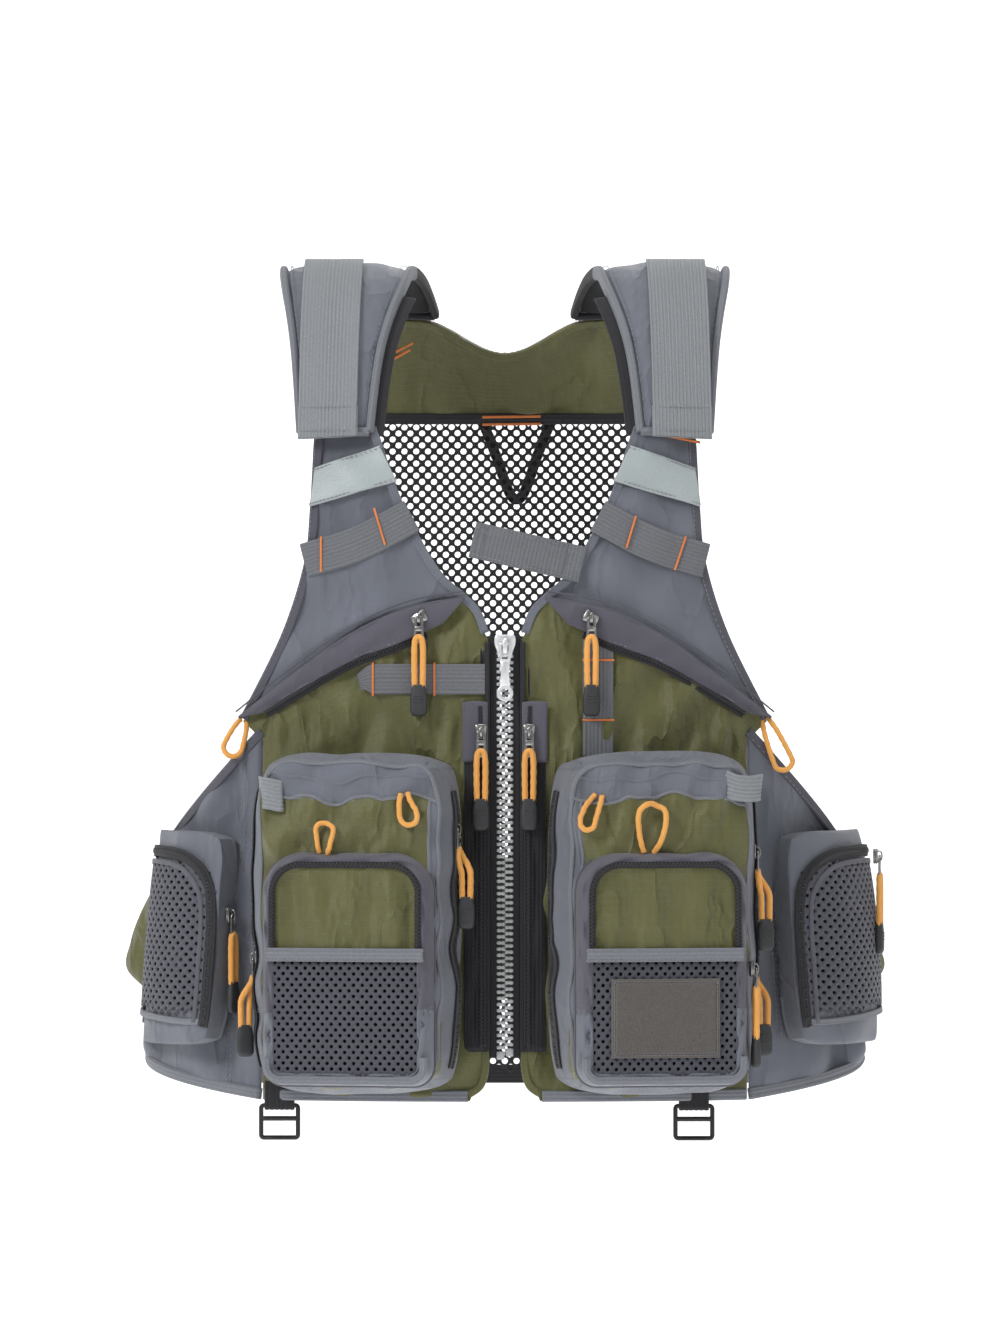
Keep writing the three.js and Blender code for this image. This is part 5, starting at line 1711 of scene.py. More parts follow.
def cling(obj: bpy.types.Object, line: Line, lift: float) -> Line:
    """A line moved onto the nearest place of a piece's surface.

    Args:
        obj: the piece.
        line: the line, close to the piece.
        lift: how far off the surface the result is.

    Returns:
        The line on the piece, smoothed a little.
    """
    depsgraph = bpy.context.evaluated_depsgraph_get()
    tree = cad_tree(obj, depsgraph)
    found = [tree.find_nearest(Vector(p)) for p in line.points]
    points = np.array([list(f[0]) for f in found])
    normals = np.array([list(f[1]) for f in found])
    facing = np.sign((normals * line.normals).sum(1, keepdims=True))
    normals = unit(unit(normals * np.where(facing == 0, 1, facing)) + line.normals)
    kernel = np.array([0.25, 0.5, 0.25])
    for _ in range(3):
        for values in (points, normals):
            middle = [np.convolve(values[:, k], kernel, "valid") for k in range(3)]
            values[1:-1] = np.stack(middle, axis=1)
    return Line(points + unit(normals) * lift, unit(normals))


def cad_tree(obj: bpy.types.Object, depsgraph: bpy.types.Depsgraph) -> "BVHTree":
    """A search tree over a piece's faces."""
    return BVHTree.FromObject(obj, depsgraph)


# ---- Shoulders -----------------------------------------------------------------------------


@dataclass
class Shoulders:
    """The padded straps over the shoulders and the webbing on them."""

    edges: tuple = ((31, 87, 133), (50, 80, 138), (72, 66, 146), (90, 60, 148), (104, 52, 145),
        (117, 45, 138))
    edge: float = 0.0062
    crown: float = 0.004
    webbing_x: float = 0.113
    webbing_width: float = 0.039
    webbing_lift: float = 0.0126

    def at(self, side: Side, u: Array, v: Array) -> tuple:
        """The dome's x and tilt on the pad, from its inner edge at u = 0 to its outer edge."""
        row = spline(self.edges, v)
        x = (row[..., 1] + (row[..., 2] - row[..., 1]) * u) * MM
        return side.sign * x, row[..., 0]

    def edge_line(self, side: Side, u: float, lift: float, count: int = 150) -> Line:
        """A line along the pad at a share of its width."""
        v = np.linspace(0.004, 0.996, count)
        x, tilt = self.at(side, np.full(count, u), v)
        points = FORM.raised(FORM.over, x, tilt, np.full(count, lift))
        return Line(points, FORM.normal(FORM.over, x, tilt))

    def build(self) -> None:
        """Builds both shoulders."""
        for side in SIDES:
            self.build_pad(side)
            self.build_webbing(side)

    def build_pad(self, side: Side) -> None:
        """A foam pad in grey cloth, black mesh below, crowned across and bound along both edges."""
        u, v = span(40, 150)
        x, tilt = self.at(side, u, v)
        round_edge = np.clip(1 - np.abs(2 * u - 1) ** 6, 0.02, 1) ** 0.5
        round_end = np.clip(1 - np.abs(2 * v - 1) ** 24, 0.02, 1) ** 0.5
        thick = (self.edge + self.crown * np.sin(np.pi * u)) * round_edge * round_end
        middle = 0.0004 + self.edge / 2
        wave = Ripple(71 + side.sign, 0.0004, 0.03, 30.0, 8).at(x, tilt)
        outer = FORM.raised(FORM.over, x, tilt, middle + thick - self.edge / 2 + wave * round_edge)
        inner = FORM.raised(FORM.over, x, tilt, middle - np.minimum(thick, self.edge) / 2 - 0.0002)
        parts = Parts()
        parts.shell(outer, inner, GREY)
        obj = parts.build("shoulder_pad_foam_" + side.word)
        swell(obj, 2.5, 0.0018, 0.0042, 14)

        def choose(points: Array) -> Array:
            """Black on the underside and grey on top."""
            base = points - [0, 0, FORM.base]
            reach = np.sqrt((base[:, 1] / np.where(base[:, 1] < 0, FORM.front,
                FORM.back)) ** 2 + (base[:, 2] / -FORM.base) ** 2)
            plan = FORM.share(points[:, 0] / FORM.half_width)
            return (reach < 1.0 + 0.016 - (1 - plan) * 0.75 * np.abs(base[:, 1]) / 0.12).astype(int)

        def flat(points: Array) -> Array:
            """Across in x and along by the angle over the shoulder."""
            angle = np.arctan2(points[:, 1], points[:, 2] - FORM.base)
            return np.stack([points[:, 0], angle * 0.17], axis=1)

        redress(obj, (GREY, LINING_AND_SHADE), choose, flat)
        settle(obj, ["shoulder_pad_" + side.word])
        trim = Parts()
        for place in (0.015, 0.985):
            line = self.edge_line(side, place, 0.0004 + self.edge * 0.55)
            section = oval(0.0052, self.edge + 0.0034, 16, 3.0)
            crest = 0.62 if place < 0.5 else 1.0
            front = line.cut(0.0, crest)
            trim.sweep(front.points, front.normals, section, BINDING)
            if crest < 1:
                rear = line.cut(crest, 1.0)
                trim.sweep(rear.points, rear.normals, section, BLACK_TAPE)
            stitch(trim, self.edge_line(side, 0.075 if place < 0.5 else 0.925, self.edge + 0.0022), THREAD)
        foot = np.linspace(0.02, 0.98, 50)
        for v0 in (0.006, 0.994):
            x, tilt = self.at(side, foot, np.full(50, v0))
            lift = 0.0004 + self.edge * 0.5 + self.crown * 0.35 * np.sin(np.pi * foot)
            end = Line(FORM.raised(FORM.over, x, tilt, lift), FORM.normal(FORM.over, x, tilt))
            trim.sweep(end.points, end.normals, oval(0.005, self.edge + 0.0036, 16, 3.0),
                BINDING if v0 < 0.5 else BLACK_TAPE)
        settle(trim.build("shoulder_bindings_" + side.word))

    def build_webbing(self, side: Side) -> None:
        """Wide webbing over the pad with a doubled hem at its foot and two rows of stitches across it, and a
        black tape along the pad's inner edge.
        """
        tilt = np.linspace(29.5, 86, 160)
        x = np.full(160, side.sign * self.webbing_x)
        hem = smooth(36.5, 35.5, tilt)
        lift = self.webbing_lift + 0.0011 * hem
        points = FORM.raised(FORM.over, x, tilt, lift)
        line = Line(points, FORM.normal(FORM.over, x, tilt))
        parts = Parts()
        ribs = 15 if side.sign < 0 else 26
        section = ribbed(self.webbing_width, 0.0018, ribs, 0.0005 if side.sign < 0 else 0.0003)
        parts.sweep(line.points, line.normals, section, WEBBING)
        fold = line.cut(0.0, 0.11)
        under = Line(fold.points - fold.normals * 0.0014, fold.normals)
        strap(parts, under, self.webbing_width + 0.001, 0.0016, WEBBING)
        for level in (30.6, 35.2):
            across = np.linspace(-0.0175, 0.0175, 24)
            px = side.sign * self.webbing_x + across
            row = FORM.raised(FORM.over, px, np.full(24, level), self.webbing_lift + 0.0022)
            normals = FORM.normal(FORM.over, px, np.full(24, level))
            stitch(parts, Line(row, normals), THREAD)
        settle(parts.build("shoulder_strap_" + side.word), ["shoulder_webbing_" + side.word])
        under_strap = Parts()
        v = np.linspace(0.0, 0.36, 60)
        inner_x, inner_tilt = self.at(side, np.full(60, -0.06), v)
        low = FORM.raised(FORM.over, inner_x, inner_tilt, np.full(60, 0.0018))
        strap(under_strap, Line(low, FORM.normal(FORM.over, inner_x, inner_tilt)), 0.011, 0.0016, BLACK_TAPE)
        settle(under_strap.build("shoulder_tape_" + side.word))


# ---- The main zip --------------------------------------------------------------------------


@dataclass
class MainZip:
    """The moulded front zip: teeth on black tape, a lacquered slider and a big puller."""

    plane: float = -0.116
    pitch: float = 0.004

    def build(self) -> None:
        """Builds teeth and tapes, then the slider and puller on their own bodies."""
        for side in SIDES:
            self.build_side(side)
        self.build_slider()
        self.build_puller()

    def build_side(self, side: Side) -> None:
        """One row of teeth, each a waisted block with a rounded head, on its tape."""
        low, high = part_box("zip_teeth_" + side.word)
        s = side.sign
        z = np.arange(high.z - 0.0012, low.z + 0.001, -self.pitch)
        tooth = rounded_block((0.0026, 0.0034, 0.0056),
            [(0, 0.72), (0.25, 1), (0.55, 0.62), (0.75, 0.98), (0.93, 0.9), (1, 0.5)], 8)
        axes = np.tile(np.array([[0, 0, 1.0], [0, s * 1.0, 0], [-s * 1.0, 0, 0]]), (len(z), 1, 1))
        origins = np.stack([np.full(len(z), s * 0.0026), np.full(len(z), self.plane), z], axis=1)
        parts = Parts()
        parts.stamp(tooth, origins, axes, TOOTH)
        path = np.stack([np.full(120, s * 0.005), np.full(120, self.plane),
            np.linspace(high.z, low.z, 120)], axis=1)
        parts.sweep(path, np.array([0, -1.0, 0]), oval(0.0018, 0.002, 10), BLACK_TAPE)
        box = rounded_block((0.0052, 0.004, 0.0052), [(0, 0.8), (0.12, 1), (0.88, 1), (1, 0.8)], 8)
        end = np.array([[s * 0.003, self.plane, low.z + 0.0016]])
        parts.stamp(box, end, np.eye(3)[None], TOOTH)
        settle(parts.build("main_zip_teeth_" + side.word), ["zip_teeth_" + side.word])
        tape_low, tape_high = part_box("zip_tape_" + side.word)
        line = np.stack([np.full(120, s * 0.0098), np.full(120, self.plane),
            np.linspace(tape_high.z, tape_low.z, 120)], axis=1)
        tape = Parts()
        run = Line(line, np.tile([0, -1.0, 0], (120, 1)))
        strap(tape, run, 0.0128, 0.001, BLACK_TAPE, 8)
        settle(tape.build("main_zip_tape_" + side.word), ["zip_tape_" + side.word])

    def build_slider(self) -> None:
        """A shouldered body of two plates, joined at the top, with a bridge on its face."""
        low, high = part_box("main_slider")
        middle = np.array([0.0, self.plane, (low.z + high.z) / 2])
        place = Frame(middle, np.array([1.0, 0, 0]), np.array([0, -1.0, 0]))
        half, tall = (high.x - low.x) / 2, (high.z - low.z) / 2
        w = np.array([0.86, 1.0, 1.0, 0.93, 0.72, 0.66]) * half
        h = np.array([1.0, 0.72, 0.35, 0.0, -0.45, -1.0]) * tall
        right = np.stack([w, h], axis=1)
        shape = np.concatenate([right[::-1], right * [-1, 1]])
        shape = even(np.vstack([shape, shape[:1]]), 49)[:-1]
        parts = Parts()
        for sign in (1, -1):
            gap = 0.0023
            levels = [(gap, 0.0004), (gap + 0.0003, 0), (gap + 0.0012, 0), (gap + 0.0016, 0.0006)]
            plate(parts, place, shape, [(sign * a, b) for a, b in levels], BRIGHT)
        wedge = rounded_block((0.0011, 0.005, 0.005), [(0, 0.5), (0.4, 1), (1, 1)], 8)
        parts.stamp(wedge, middle[None] + [0, 0, tall - 0.0027], np.eye(3)[None], BRIGHT)
        t = np.linspace(0, np.pi, 17)
        arch = np.stack([np.zeros(17), 0.0036 + 0.004 * np.sin(t) ** 0.4, 0.005 * np.cos(t)], axis=1)
        parts.sweep(place.at(arch), place.across, oval(0.0013, 0.003, 10, 5.0), BRIGHT)
        settle(parts.build("main_zip_slider"), ["main_slider"], "main_slider")

    def build_puller(self) -> None:
        """A big flat puller: broad shoulders with a window, a neck and a ring at the foot."""
        place = Frame.of_joint("main_puller_swing")
        low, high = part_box("main_puller")
        reach = float(place.origin[2] - low.z)
        wide = float(high.x - low.x)
        rad = wide / 2
        parts = Parts()
        ring_z = -(reach - rad)
        angle = np.linspace(0, 2 * np.pi, 41)[:-1]
        hoop = np.stack([np.cos(angle) * rad * 0.76, np.zeros(40), ring_z + np.sin(angle) * rad * 0.76],
            axis=1)
        parts.sweep(place.at(hoop), place.out, oval(rad * 0.46, 0.0022, 14, 3.5), BRIGHT, closed=True)
        top = [[-0.62, 0.0012], [-0.6, -0.004], [-0.6, -0.0092], [0.6, -0.0092], [0.6, -0.004],
            [0.62, 0.0012]]
        rail = np.array([[x * rad * 0.86, z] for x, z in top])
        rail = np.vstack([rail, rail[:1]])
        rail = even(rail, 49)[:-1]
        window = np.stack([rail[:, 0], np.zeros(48), rail[:, 1]], axis=1)
        parts.sweep(place.at(window), place.out, oval(0.0019, 0.002, 12, 4.0), BRIGHT, closed=True)
        neck = np.array([[0.6, -0.0088], [0.56, -0.012], [0.5, -0.018], [0.62, ring_z + rad * 0.72]])
        left = neck * [rad, 1]
        shape = np.concatenate([left, (left * [-1, 1])[::-1]])
        plate(parts, place, shape, [(-0.0009, 0.0004), (-0.0006, 0), (0.0006, 0), (0.0009, 0.0004)], BRIGHT)
        settle(parts.build("main_zip_puller"), ["main_puller"], "main_puller")


# ---- The big pockets -----------------------------------------------------------------------


@dataclass
class CargoPocket:
    """A bellows pocket: a gathered ripstop face under a wrinkled grey band, on grey gussets."""

    side: Side
    x: float = 0.092
    width: float = 0.13
    top: float = -0.314
    bottom: float = -0.534
    depth: float = 0.044
    face_width: float = 0.121
    inset: float = 0.005
    band: float = 0.024

    def __post_init__(self) -> None:
        """Works out the plane of its face."""
        z = (self.top + self.bottom) / 2
        x = self.side.sign * self.x
        self.outward = FORM.normal(FORM.front_face, np.array(x), np.array(z))
        self.middle = FORM.raised(FORM.front_face, np.array(x), np.array(z), np.array(self.depth))
        self.across = unit(np.cross(UP, self.outward))
        self.face_height = self.top - self.bottom - 2 * self.inset

    def on_face(self, across: Array, up: Array, lift: Array) -> Array:
        """A point of the face's plane, by across and up from its middle and out by a lift."""
        a, b, c = np.broadcast_arrays(across, up, lift)
        return self.middle + a[..., None] * self.across + b[..., None] * UP + c[..., None] * self.outward

    def local(self, points: Array) -> tuple[Array, Array, Array]:
        """Across, up and out of points, from the middle of the face."""
        d = points - self.middle
        return d @ self.across, d[..., 2], d @ self.outward

    def skin(self, u: Array, v: Array) -> Array:
        """The bag's outside: the face in the middle of the grid and the gussets round it.

        The larger of |u| and |v| is the ring. Inside ring 0.78 it is the face, domed by the product of two
        parabolas. Outside it runs straight back to the outline on the chest, bulging as a half wave.
        """
        ring = np.maximum(np.abs(u), np.abs(v))
        edge = 0.78
        scale = np.where(ring > edge, 1 / np.maximum(ring, 1e-9), 1 / edge)
        a, b = u * scale, v * scale
        soft_a, soft_b = a * (1 - 0.075 * np.abs(b) ** 6), b * (1 - 0.075 * np.abs(a) ** 6)
        dome = np.clip(1 - a**2, 0, 1) * np.clip(1 - b**2, 0, 1)
        face = self.on_face(soft_a * self.face_width / 2, soft_b * self.face_height / 2,
            0.006 * dome**0.6 - 0.0015)
        px = self.side.sign * self.x + soft_a * self.width / 2 * self.side_turn()
        pz = (self.top + self.bottom) / 2 + soft_b * (self.top - self.bottom) / 2
        base = FORM.raised(FORM.front_face, px, pz, np.full(px.shape, 0.0032))
        t = np.clip((ring - edge) / (1 - edge), 0, 1)[..., None]
        bulge = 0.0022 * np.sin(np.pi * t) ** 0.8
        side = unit(a[..., None] * np.abs(a[..., None]) ** 3 * self.across + b[...,
            None] * np.abs(b[..., None]) ** 3 * UP)
        return face * (1 - t) + base * t + side * bulge

    def side_turn(self) -> float:
        """1 if across runs towards +X, as it does on both sides' faces."""
        return float(np.sign(self.across[0]))

    def build(self) -> None:
        """Builds the bag, then what is sewn on it."""
        s = self.side.sign
        grid = np.sign(np.linspace(-1, 1, 141)) * np.abs(np.linspace(-1, 1, 141)) ** 0.9
        u, v = np.meshgrid(grid, grid)
        outer = self.skin(u, v)
        a, b, _ = self.local(outer)
        top = self.face_height / 2
        folds = Ripple(81 + s, 0.0016, 0.035, 0.045, 12).at(a, b)
        below = top - self.band - b
        gather = (
            0.0016 * np.sin(a * 2 * np.pi / 0.0085 + 2.2 * np.sin(a * 120))
            * np.exp(-np.clip(below, 0, 1) / 0.016)
        )
        gather = gather * smooth(-0.003, 0.002, below)
        inside = smooth(0.99, 0.85, np.maximum(np.abs(u), np.abs(v)))[..., None]
        outer = outer + inside * (folds + gather)[..., None] * self.outward
        px = s * self.x + u * (1 - 0.075 * np.abs(v) ** 6) * self.width / 2 * self.side_turn() * 0.999
        pz = (
            (self.top + self.bottom) / 2
            + v * (1 - 0.075 * np.abs(u) ** 6) * (self.top - self.bottom) / 2 * 0.999
        )
        inner = FORM.raised(FORM.front_face, px, pz, np.full(px.shape, 0.003))
        parts = Parts()
        parts.shell(outer, inner, OLIVE)
        obj = parts.build("cargo_bag_" + self.side.word)
        swell(obj, 3.0, 0.0045, 0.0044, 18)
        redress(obj, (OLIVE, GREY, FLAP), self.choose, self.flat)
        self.bag = settle(obj, ["cargo_pocket_" + self.side.word])
        self.build_trim()

    def choose(self, points: Array) -> Array:
        """Grey on the band and the gussets, olive on the face and the lower end of the inner gusset."""
        a, b, c = self.local(points)
        s = self.side.sign * self.side_turn()
        top = self.face_height / 2
        sag = 0.0022 * np.sin(a * 70 + self.side.sign) + 0.0012 * np.sin(a * 190)
        band = b > top - self.band + sag
        gusset = (c < -0.0065) | (np.abs(a) > self.face_width / 2 - 0.0015)
        inner = (a * s < -(self.face_width / 2 - 0.0085)) & (b > -self.face_height * 0.3)
        return np.where(band | inner, 1, np.where(gusset, 1, 0))

    def flat(self, points: Array) -> Array:
        """Across and up, with the gussets' depth added to both so that the weave keeps its size."""
        a, b, c = self.local(points)
        back = np.clip(-c, 0, 1)
        return np.stack([a + np.sign(a) * back * (np.abs(a) > 0.05),
            b + np.sign(b) * back * (np.abs(b) > 0.1)], axis=1)

    def outline(self, shrink: float, lift: float, count: int = 260) -> Line:
        """The line round the face's edge, drawn in by a distance."""
        angle = np.linspace(0, 2 * np.pi, count)
        power = 7.0
        c, s = np.cos(angle), np.sin(angle)
        a = np.sign(c) * np.abs(c) ** (2 / power) * (self.face_width / 2 - shrink)
        b = np.sign(s) * np.abs(s) ** (2 / power) * (self.face_height / 2 - shrink)
        both = even(np.stack([a, b], axis=1), count)
        points = self.on_face(both[:, 0], both[:, 1], np.full(count, lift))
        return Line(points, np.tile(self.outward, (count, 1)))

    def line_at(self, places: Sequence[Sequence[float]], lift: float, count: int = 60) -> Line:
        """A smooth line over the face through places given in millimetres."""
        at = even(spline(np.asarray(places, float) * MM, np.linspace(0, 1, 3 * count)), count)
        return Line(self.on_face(at[:, 0], at[:, 1], np.full(count, lift)), np.tile(self.outward, (count, 1)))

    def build_trim(self) -> None:
        """Pipes the face's edge, binds the band and zips the two long sides."""
        parts = Parts()
        ring = cling(self.bag, self.outline(0.0005, 0.0), 0.0004)
        parts.sweep(ring.points[:-1], ring.normals[:-1], oval(0.003, 0.0026, 10), BINDING, closed=True)
        half, top = self.face_width / 2 / MM, self.face_height / 2 / MM
        band = [(x, top - self.band / MM + 2.2 * np.sin(x * 0.07 + self.side.sign)
            + 1.2 * np.sin(x * 0.19)) for x in np.linspace(-half + 3, half - 3, 24)]
        low = cling(self.bag, self.line_at(band, 0.002, 140), 0.0003)
        parts.sweep(low.points, low.normals, oval(0.0022, 0.0016, 10), BINDING)
        fold = [(x, y + 13 + 1.6 * np.sin(x * 0.11)) for x, y in band]
        crease = cling(self.bag, self.line_at(fold, 0.002, 140), -0.0002)
        parts.sweep(crease.points, crease.normals, oval(0.0026, 0.0016, 10), GREY)
        edge = -self.side.sign * self.side_turn() * (half - 8.5)
        run = [(edge, top - self.band / MM), (edge, 0.0), (edge, -0.3 * self.face_height / MM)]
        seam = cling(self.bag, self.line_at(run, 0.002, 120), 0.0002)
        parts.sweep(seam.points, seam.normals, oval(0.0022, 0.0014, 10), BINDING)
        settle(parts.build("cargo_piping_" + self.side.word))
        zips = Parts()
        for end in (-1, 1):
            edge = end * (self.face_width / 2 + 0.0006)
            up = np.linspace(self.face_height / 2 - 0.02, -self.face_height / 2 + 0.012, 120)
            points = self.on_face(np.full(120, edge), up, np.full(120, -0.5 * self.depth))
            normal = np.tile(end * self.across, (120, 1))
            line = cling(self.bag, Line(points, normal), 0.0005)
            strap(zips, line, 0.0125, 0.0011, BLACK_TAPE)
            coil(zips, line.moved(0, 0.0008), COIL)
        settle(zips.build("cargo_zips_" + self.side.word))


@dataclass
class FrontPocket:
    """The zipped pocket on the big pocket's face: an arched rim, an olive window and a net below it."""

    cargo: CargoPocket
    margin: float = 0.008
    headroom: float = 0.058
    depth: float = 0.016
    lift: float = 0.001
    rim: float = 0.0075

    def build(self) -> None:
        """Builds walls, window, net, binding and zip."""
        cargo = self.cargo
        self.width = cargo.face_width - self.margin
        self.height = cargo.face_height - self.headroom
        self.drop = self.headroom / 2
        self.build_walls()
        self.build_window()
        self.build_net()
        self.build_bindings()

    def ring(self, shrink: Array, lift: Array, count: int = 240) -> tuple[Array, Array]:
        """The pocket's outline at one or more insets and lifts: round at its arch, tighter at its foot.

        Args:
            shrink: how far in from the edge, for each ring.
            lift: how far out from the big pocket's face, for each ring.
            count: points in a ring.

        Returns:
            The points, and their flat places as across and up.
        """
        w, h = self.width / 2, self.height / 2
        turn = np.linspace(0, np.pi / 2, 20)
        c, s = np.cos(turn), np.sin(turn)
        top, foot = 0.027, 0.014
        arcs = [np.stack([w - top + top * c, h - top + top * s], 1),
            np.stack([-w + top - top * s, h - top + top * c], 1),
            np.stack([-w + foot - foot * c, -h + foot - foot * s], 1),
            np.stack([w - foot + foot * s, -h + foot - foot * c], 1)]
        loop = np.concatenate(arcs)
        loop = even(np.vstack([loop, loop[:1]]), count + 1)[:-1]
        ahead = unit(np.roll(loop, -1, 0) - np.roll(loop, 1, 0))
        inward = np.stack([-ahead[:, 1], ahead[:, 0]], axis=1)
        shrink, lift = np.atleast_1d(shrink), np.atleast_1d(lift)
        flat = loop[None] + inward[None] * shrink[:, None, None]
        points = self.cargo.on_face(flat[..., 0], flat[..., 1] - self.drop, lift[:, None])
        return points, flat

    def build_walls(self) -> None:
        """The gusset from the big pocket's face out to the rim, and the lip that folds in over it."""
        t = np.linspace(0, 1, 26)
        bend = np.pi / 2 * np.clip((t - 0.5) / 0.3, 0, 1)
        out = self.lift + (self.depth - 0.003) * np.clip(t / 0.5, 0, 1) + 0.003 * np.sin(bend)
        inset = (
            0.0008 + 0.0028 * np.clip(t / 0.5, 0, 1) + 0.003 * (1 - np.cos(bend))
            + 0.002 * np.clip((t - 0.8) / 0.2, 0, 1)
        )
        bulge = 0.0012 * np.sin(np.pi * np.clip(t / 0.6, 0, 1))
        points, flat = self.ring(inset - bulge, out)
        back, _ = self.ring(inset - bulge + 0.0011, np.maximum(out - 0.0011, self.lift * 0.3))
        angle = np.arange(240)
        wrinkle = Ripple(91, 0.0006, 6.0, 0.01, 8).at(angle[None] * 0.5, t[:, None] * 0.02)
        points = points + wrinkle[..., None] * self.cargo.outward * smooth(0.0, 0.3, t)[:, None, None]
        for name, finish, keep, slot in (("rim", FLAP, 1, "grey_cloth"), ("gusset", GREY, -1, "grey_cloth")):
            split = -self.height * 0.17
            side = np.where(flat[0, :, 1] > split, 1, -1)
            order = np.roll(np.arange(240), -int(np.argmax((side == keep) & (np.roll(side, 1) != keep))))
            part = order[: int((side == keep).sum()) + 1]
            parts = Parts()
            parts.shell(points[:, part], back[:, part], finish)
            obj = parts.build(f"front_pocket_{name}_{self.cargo.side.word}")
            nodes = ["front_pocket_" + self.cargo.side.word] if keep == 1 else ()
            settle(obj, nodes)

    def build_window(self) -> None:
        """The olive panel above the net, with soft upright folds."""
        u, v = span(90, 50)
        half, top = self.width / 2 - 0.0068, self.height / 2 - 0.0072
        low = top - 0.0615
        a = (2 * u - 1) * half
        b = top + (low - top) * v
        corner = np.clip(np.abs(a) - (half - 0.024), 0, 1)
        b = np.minimum(b, top - 0.024 + np.sqrt(np.clip(0.024**2 - corner**2, 0, 1)))
        sign = self.cargo.side.sign
        size = 0.0016 if sign < 0 else 0.0007
        folds = Ripple(95 + sign, size, 0.028, 0.2, 10).at(a, b) * np.sin(np.pi * np.clip(v, 0, 1)) ** 0.5
        folds = folds * smooth(1.0, 0.8, np.abs(2 * u - 1)) * smooth(top, top - 0.012, b)
        dome = 0.0016 * np.clip(1 - (a / half) ** 2, 0, 1)
        lift = self.lift + self.depth - 0.0022 + folds + dome
        parts = Parts()
        outer = self.cargo.on_face(a, b - self.drop, lift)
        parts.shell(outer, self.cargo.on_face(a, b - self.drop, lift - 0.0008), OLIVE)
        obj = parts.build("front_pocket_window_" + self.cargo.side.word)
        settle(obj)

    def build_net(self) -> None:
        """The net over a near-black sheet of painted shade for the pocket's shaded inside, bellied out a
        little by what it holds.
        """
        half, low, high = self.width / 2 - 0.005, -self.height / 2 + 0.005, self.height / 2 - 0.068

        def belly(a: Array, b: Array) -> Array:
            """How far the net stands out."""
            t = np.clip((b - low) / (high - low), 0, 1)
            return 0.0022 * np.clip(1 - (a / half) ** 2, 0, 1) * np.sin(np.pi * t) ** 0.7

        def inside(a: Array, b: Array) -> Array:
            """Whether a hole lies clear of the foot's round corners."""
            side, under = np.clip(np.abs(a) - (half - 0.011), 0, 1), np.clip(low + 0.011 - b, 0, 1)
            return side**2 + under**2 < 0.0095**2

        def place(a: Array, b: Array, lift: float) -> Array:
            """A point of the net."""
            return self.cargo.on_face(a, b - self.drop, self.lift + self.depth - 0.002 + lift + belly(a, b))

        parts = Parts()
        holed(parts, place, (-half, half, low, high), inside, (0.0058, 0.0036), 0.0025, 0.001, POCKET_NET)
        net = parts.build("front_pocket_net_" + self.cargo.side.word)
        settle(net)
        # Painted shade: a near-black sheet just behind the net stands in for the shaded inside of the pocket.
        u, v = span(30, 30)
        a, b = (2 * u - 1) * (half - 0.001), low + (high - low) * v
        shade_backing = Parts()
        lift = self.lift + self.depth - 0.0042 + belly(a, b)
        corner = 1 - 0.08 * (1 - v) ** 8
        shade_backing.shell(self.cargo.on_face(a * corner, b - self.drop, lift),
            self.cargo.on_face(a * corner, b - self.drop, lift - 0.0008), LINING_AND_SHADE)
        settle(shade_backing.build("front_pocket_backing_" + self.cargo.side.word))

    def strip(self, parts: Parts, places: Sequence, lift: float, width: float, thick: float,
            finish: Finish) -> Line:
        """Lays a band through places given in millimetres from the pocket's middle."""
        moved = [(x, y - self.drop / MM) for x, y in places]
        line = self.cargo.line_at(moved, lift, 90)
        strap(parts, line, width, thick, finish)
        return line

    def build_bindings(self) -> None:
        """The binding over the net's top edge, the arch zip, the foot's piping and the side seams' tacks."""
        half = self.width / 2 / MM
        top, out = self.height / 2 / MM, self.lift + self.depth
        parts = Parts()
        edge = top - 66.5
        line = self.strip(parts, [(x, edge) for x in np.linspace(-half + 5, half - 5, 7)], out + 0.0022,
            0.0088, 0.0016, BINDING)
        stitch(parts, line.moved(0.003, 0.0008), THREAD)
        stitch(parts, line.moved(-0.003, 0.0008), THREAD)
        points, flat = self.ring(np.array([0.0008]), np.array([self.lift + 0.0012]))
        ring = points[0]
        normals = np.tile(self.cargo.outward, (240, 1))
        parts.sweep(ring, normals, oval(0.0026, 0.0024, 10), GREY_DARK, closed=True)
        edge_points, _ = self.ring(np.array([0.0048]), np.array([out + 0.0004]))
        low = flat[0, :, 1] < -self.height / 2 + 0.02
        order = np.roll(np.arange(240), -int(np.argmax(low & ~np.roll(low, 1))))
        foot = order[: int(low.sum())]
        parts.sweep(edge_points[0][foot], normals[foot], oval(0.0052, 0.0042, 12, 2.6), BINDING)
        for sign in (-1, 1):
            for shift in (0.0, -1.6):
                a = sign * (half - 0.2)
                b = sign * (half - 6.8)
                level = -0.17 * self.height / MM + shift
                tack = self.cargo.line_at([(a, level - self.drop / MM), (b, level - self.drop / MM)],
                    out + 0.0004, 24)
                stitch(parts, tack, BINDING, 0.0024)
        settle(parts.build("front_pocket_bindings_" + self.cargo.side.word))
        zip_parts = Parts()
        path, _ = self.ring(np.array([0.0086]), np.array([out + 0.0004]))
        high = flat[0, :, 1] > edge * MM + 0.004
        order = np.roll(np.arange(240), -int(np.argmax(high & ~np.roll(high, 1))))
        arch = order[: int(high.sum())]
        run = Line(path[0][arch], normals[arch])
        strap(zip_parts, run, 0.0042, 0.0016, BLACK_TAPE)
        coil(zip_parts, Line(run.points + run.normals * 0.0009, run.normals), COIL)
        settle(zip_parts.build("front_pocket_zip_" + self.cargo.side.word))


# ---- Inner pockets and placket -------------------------------------------------------------


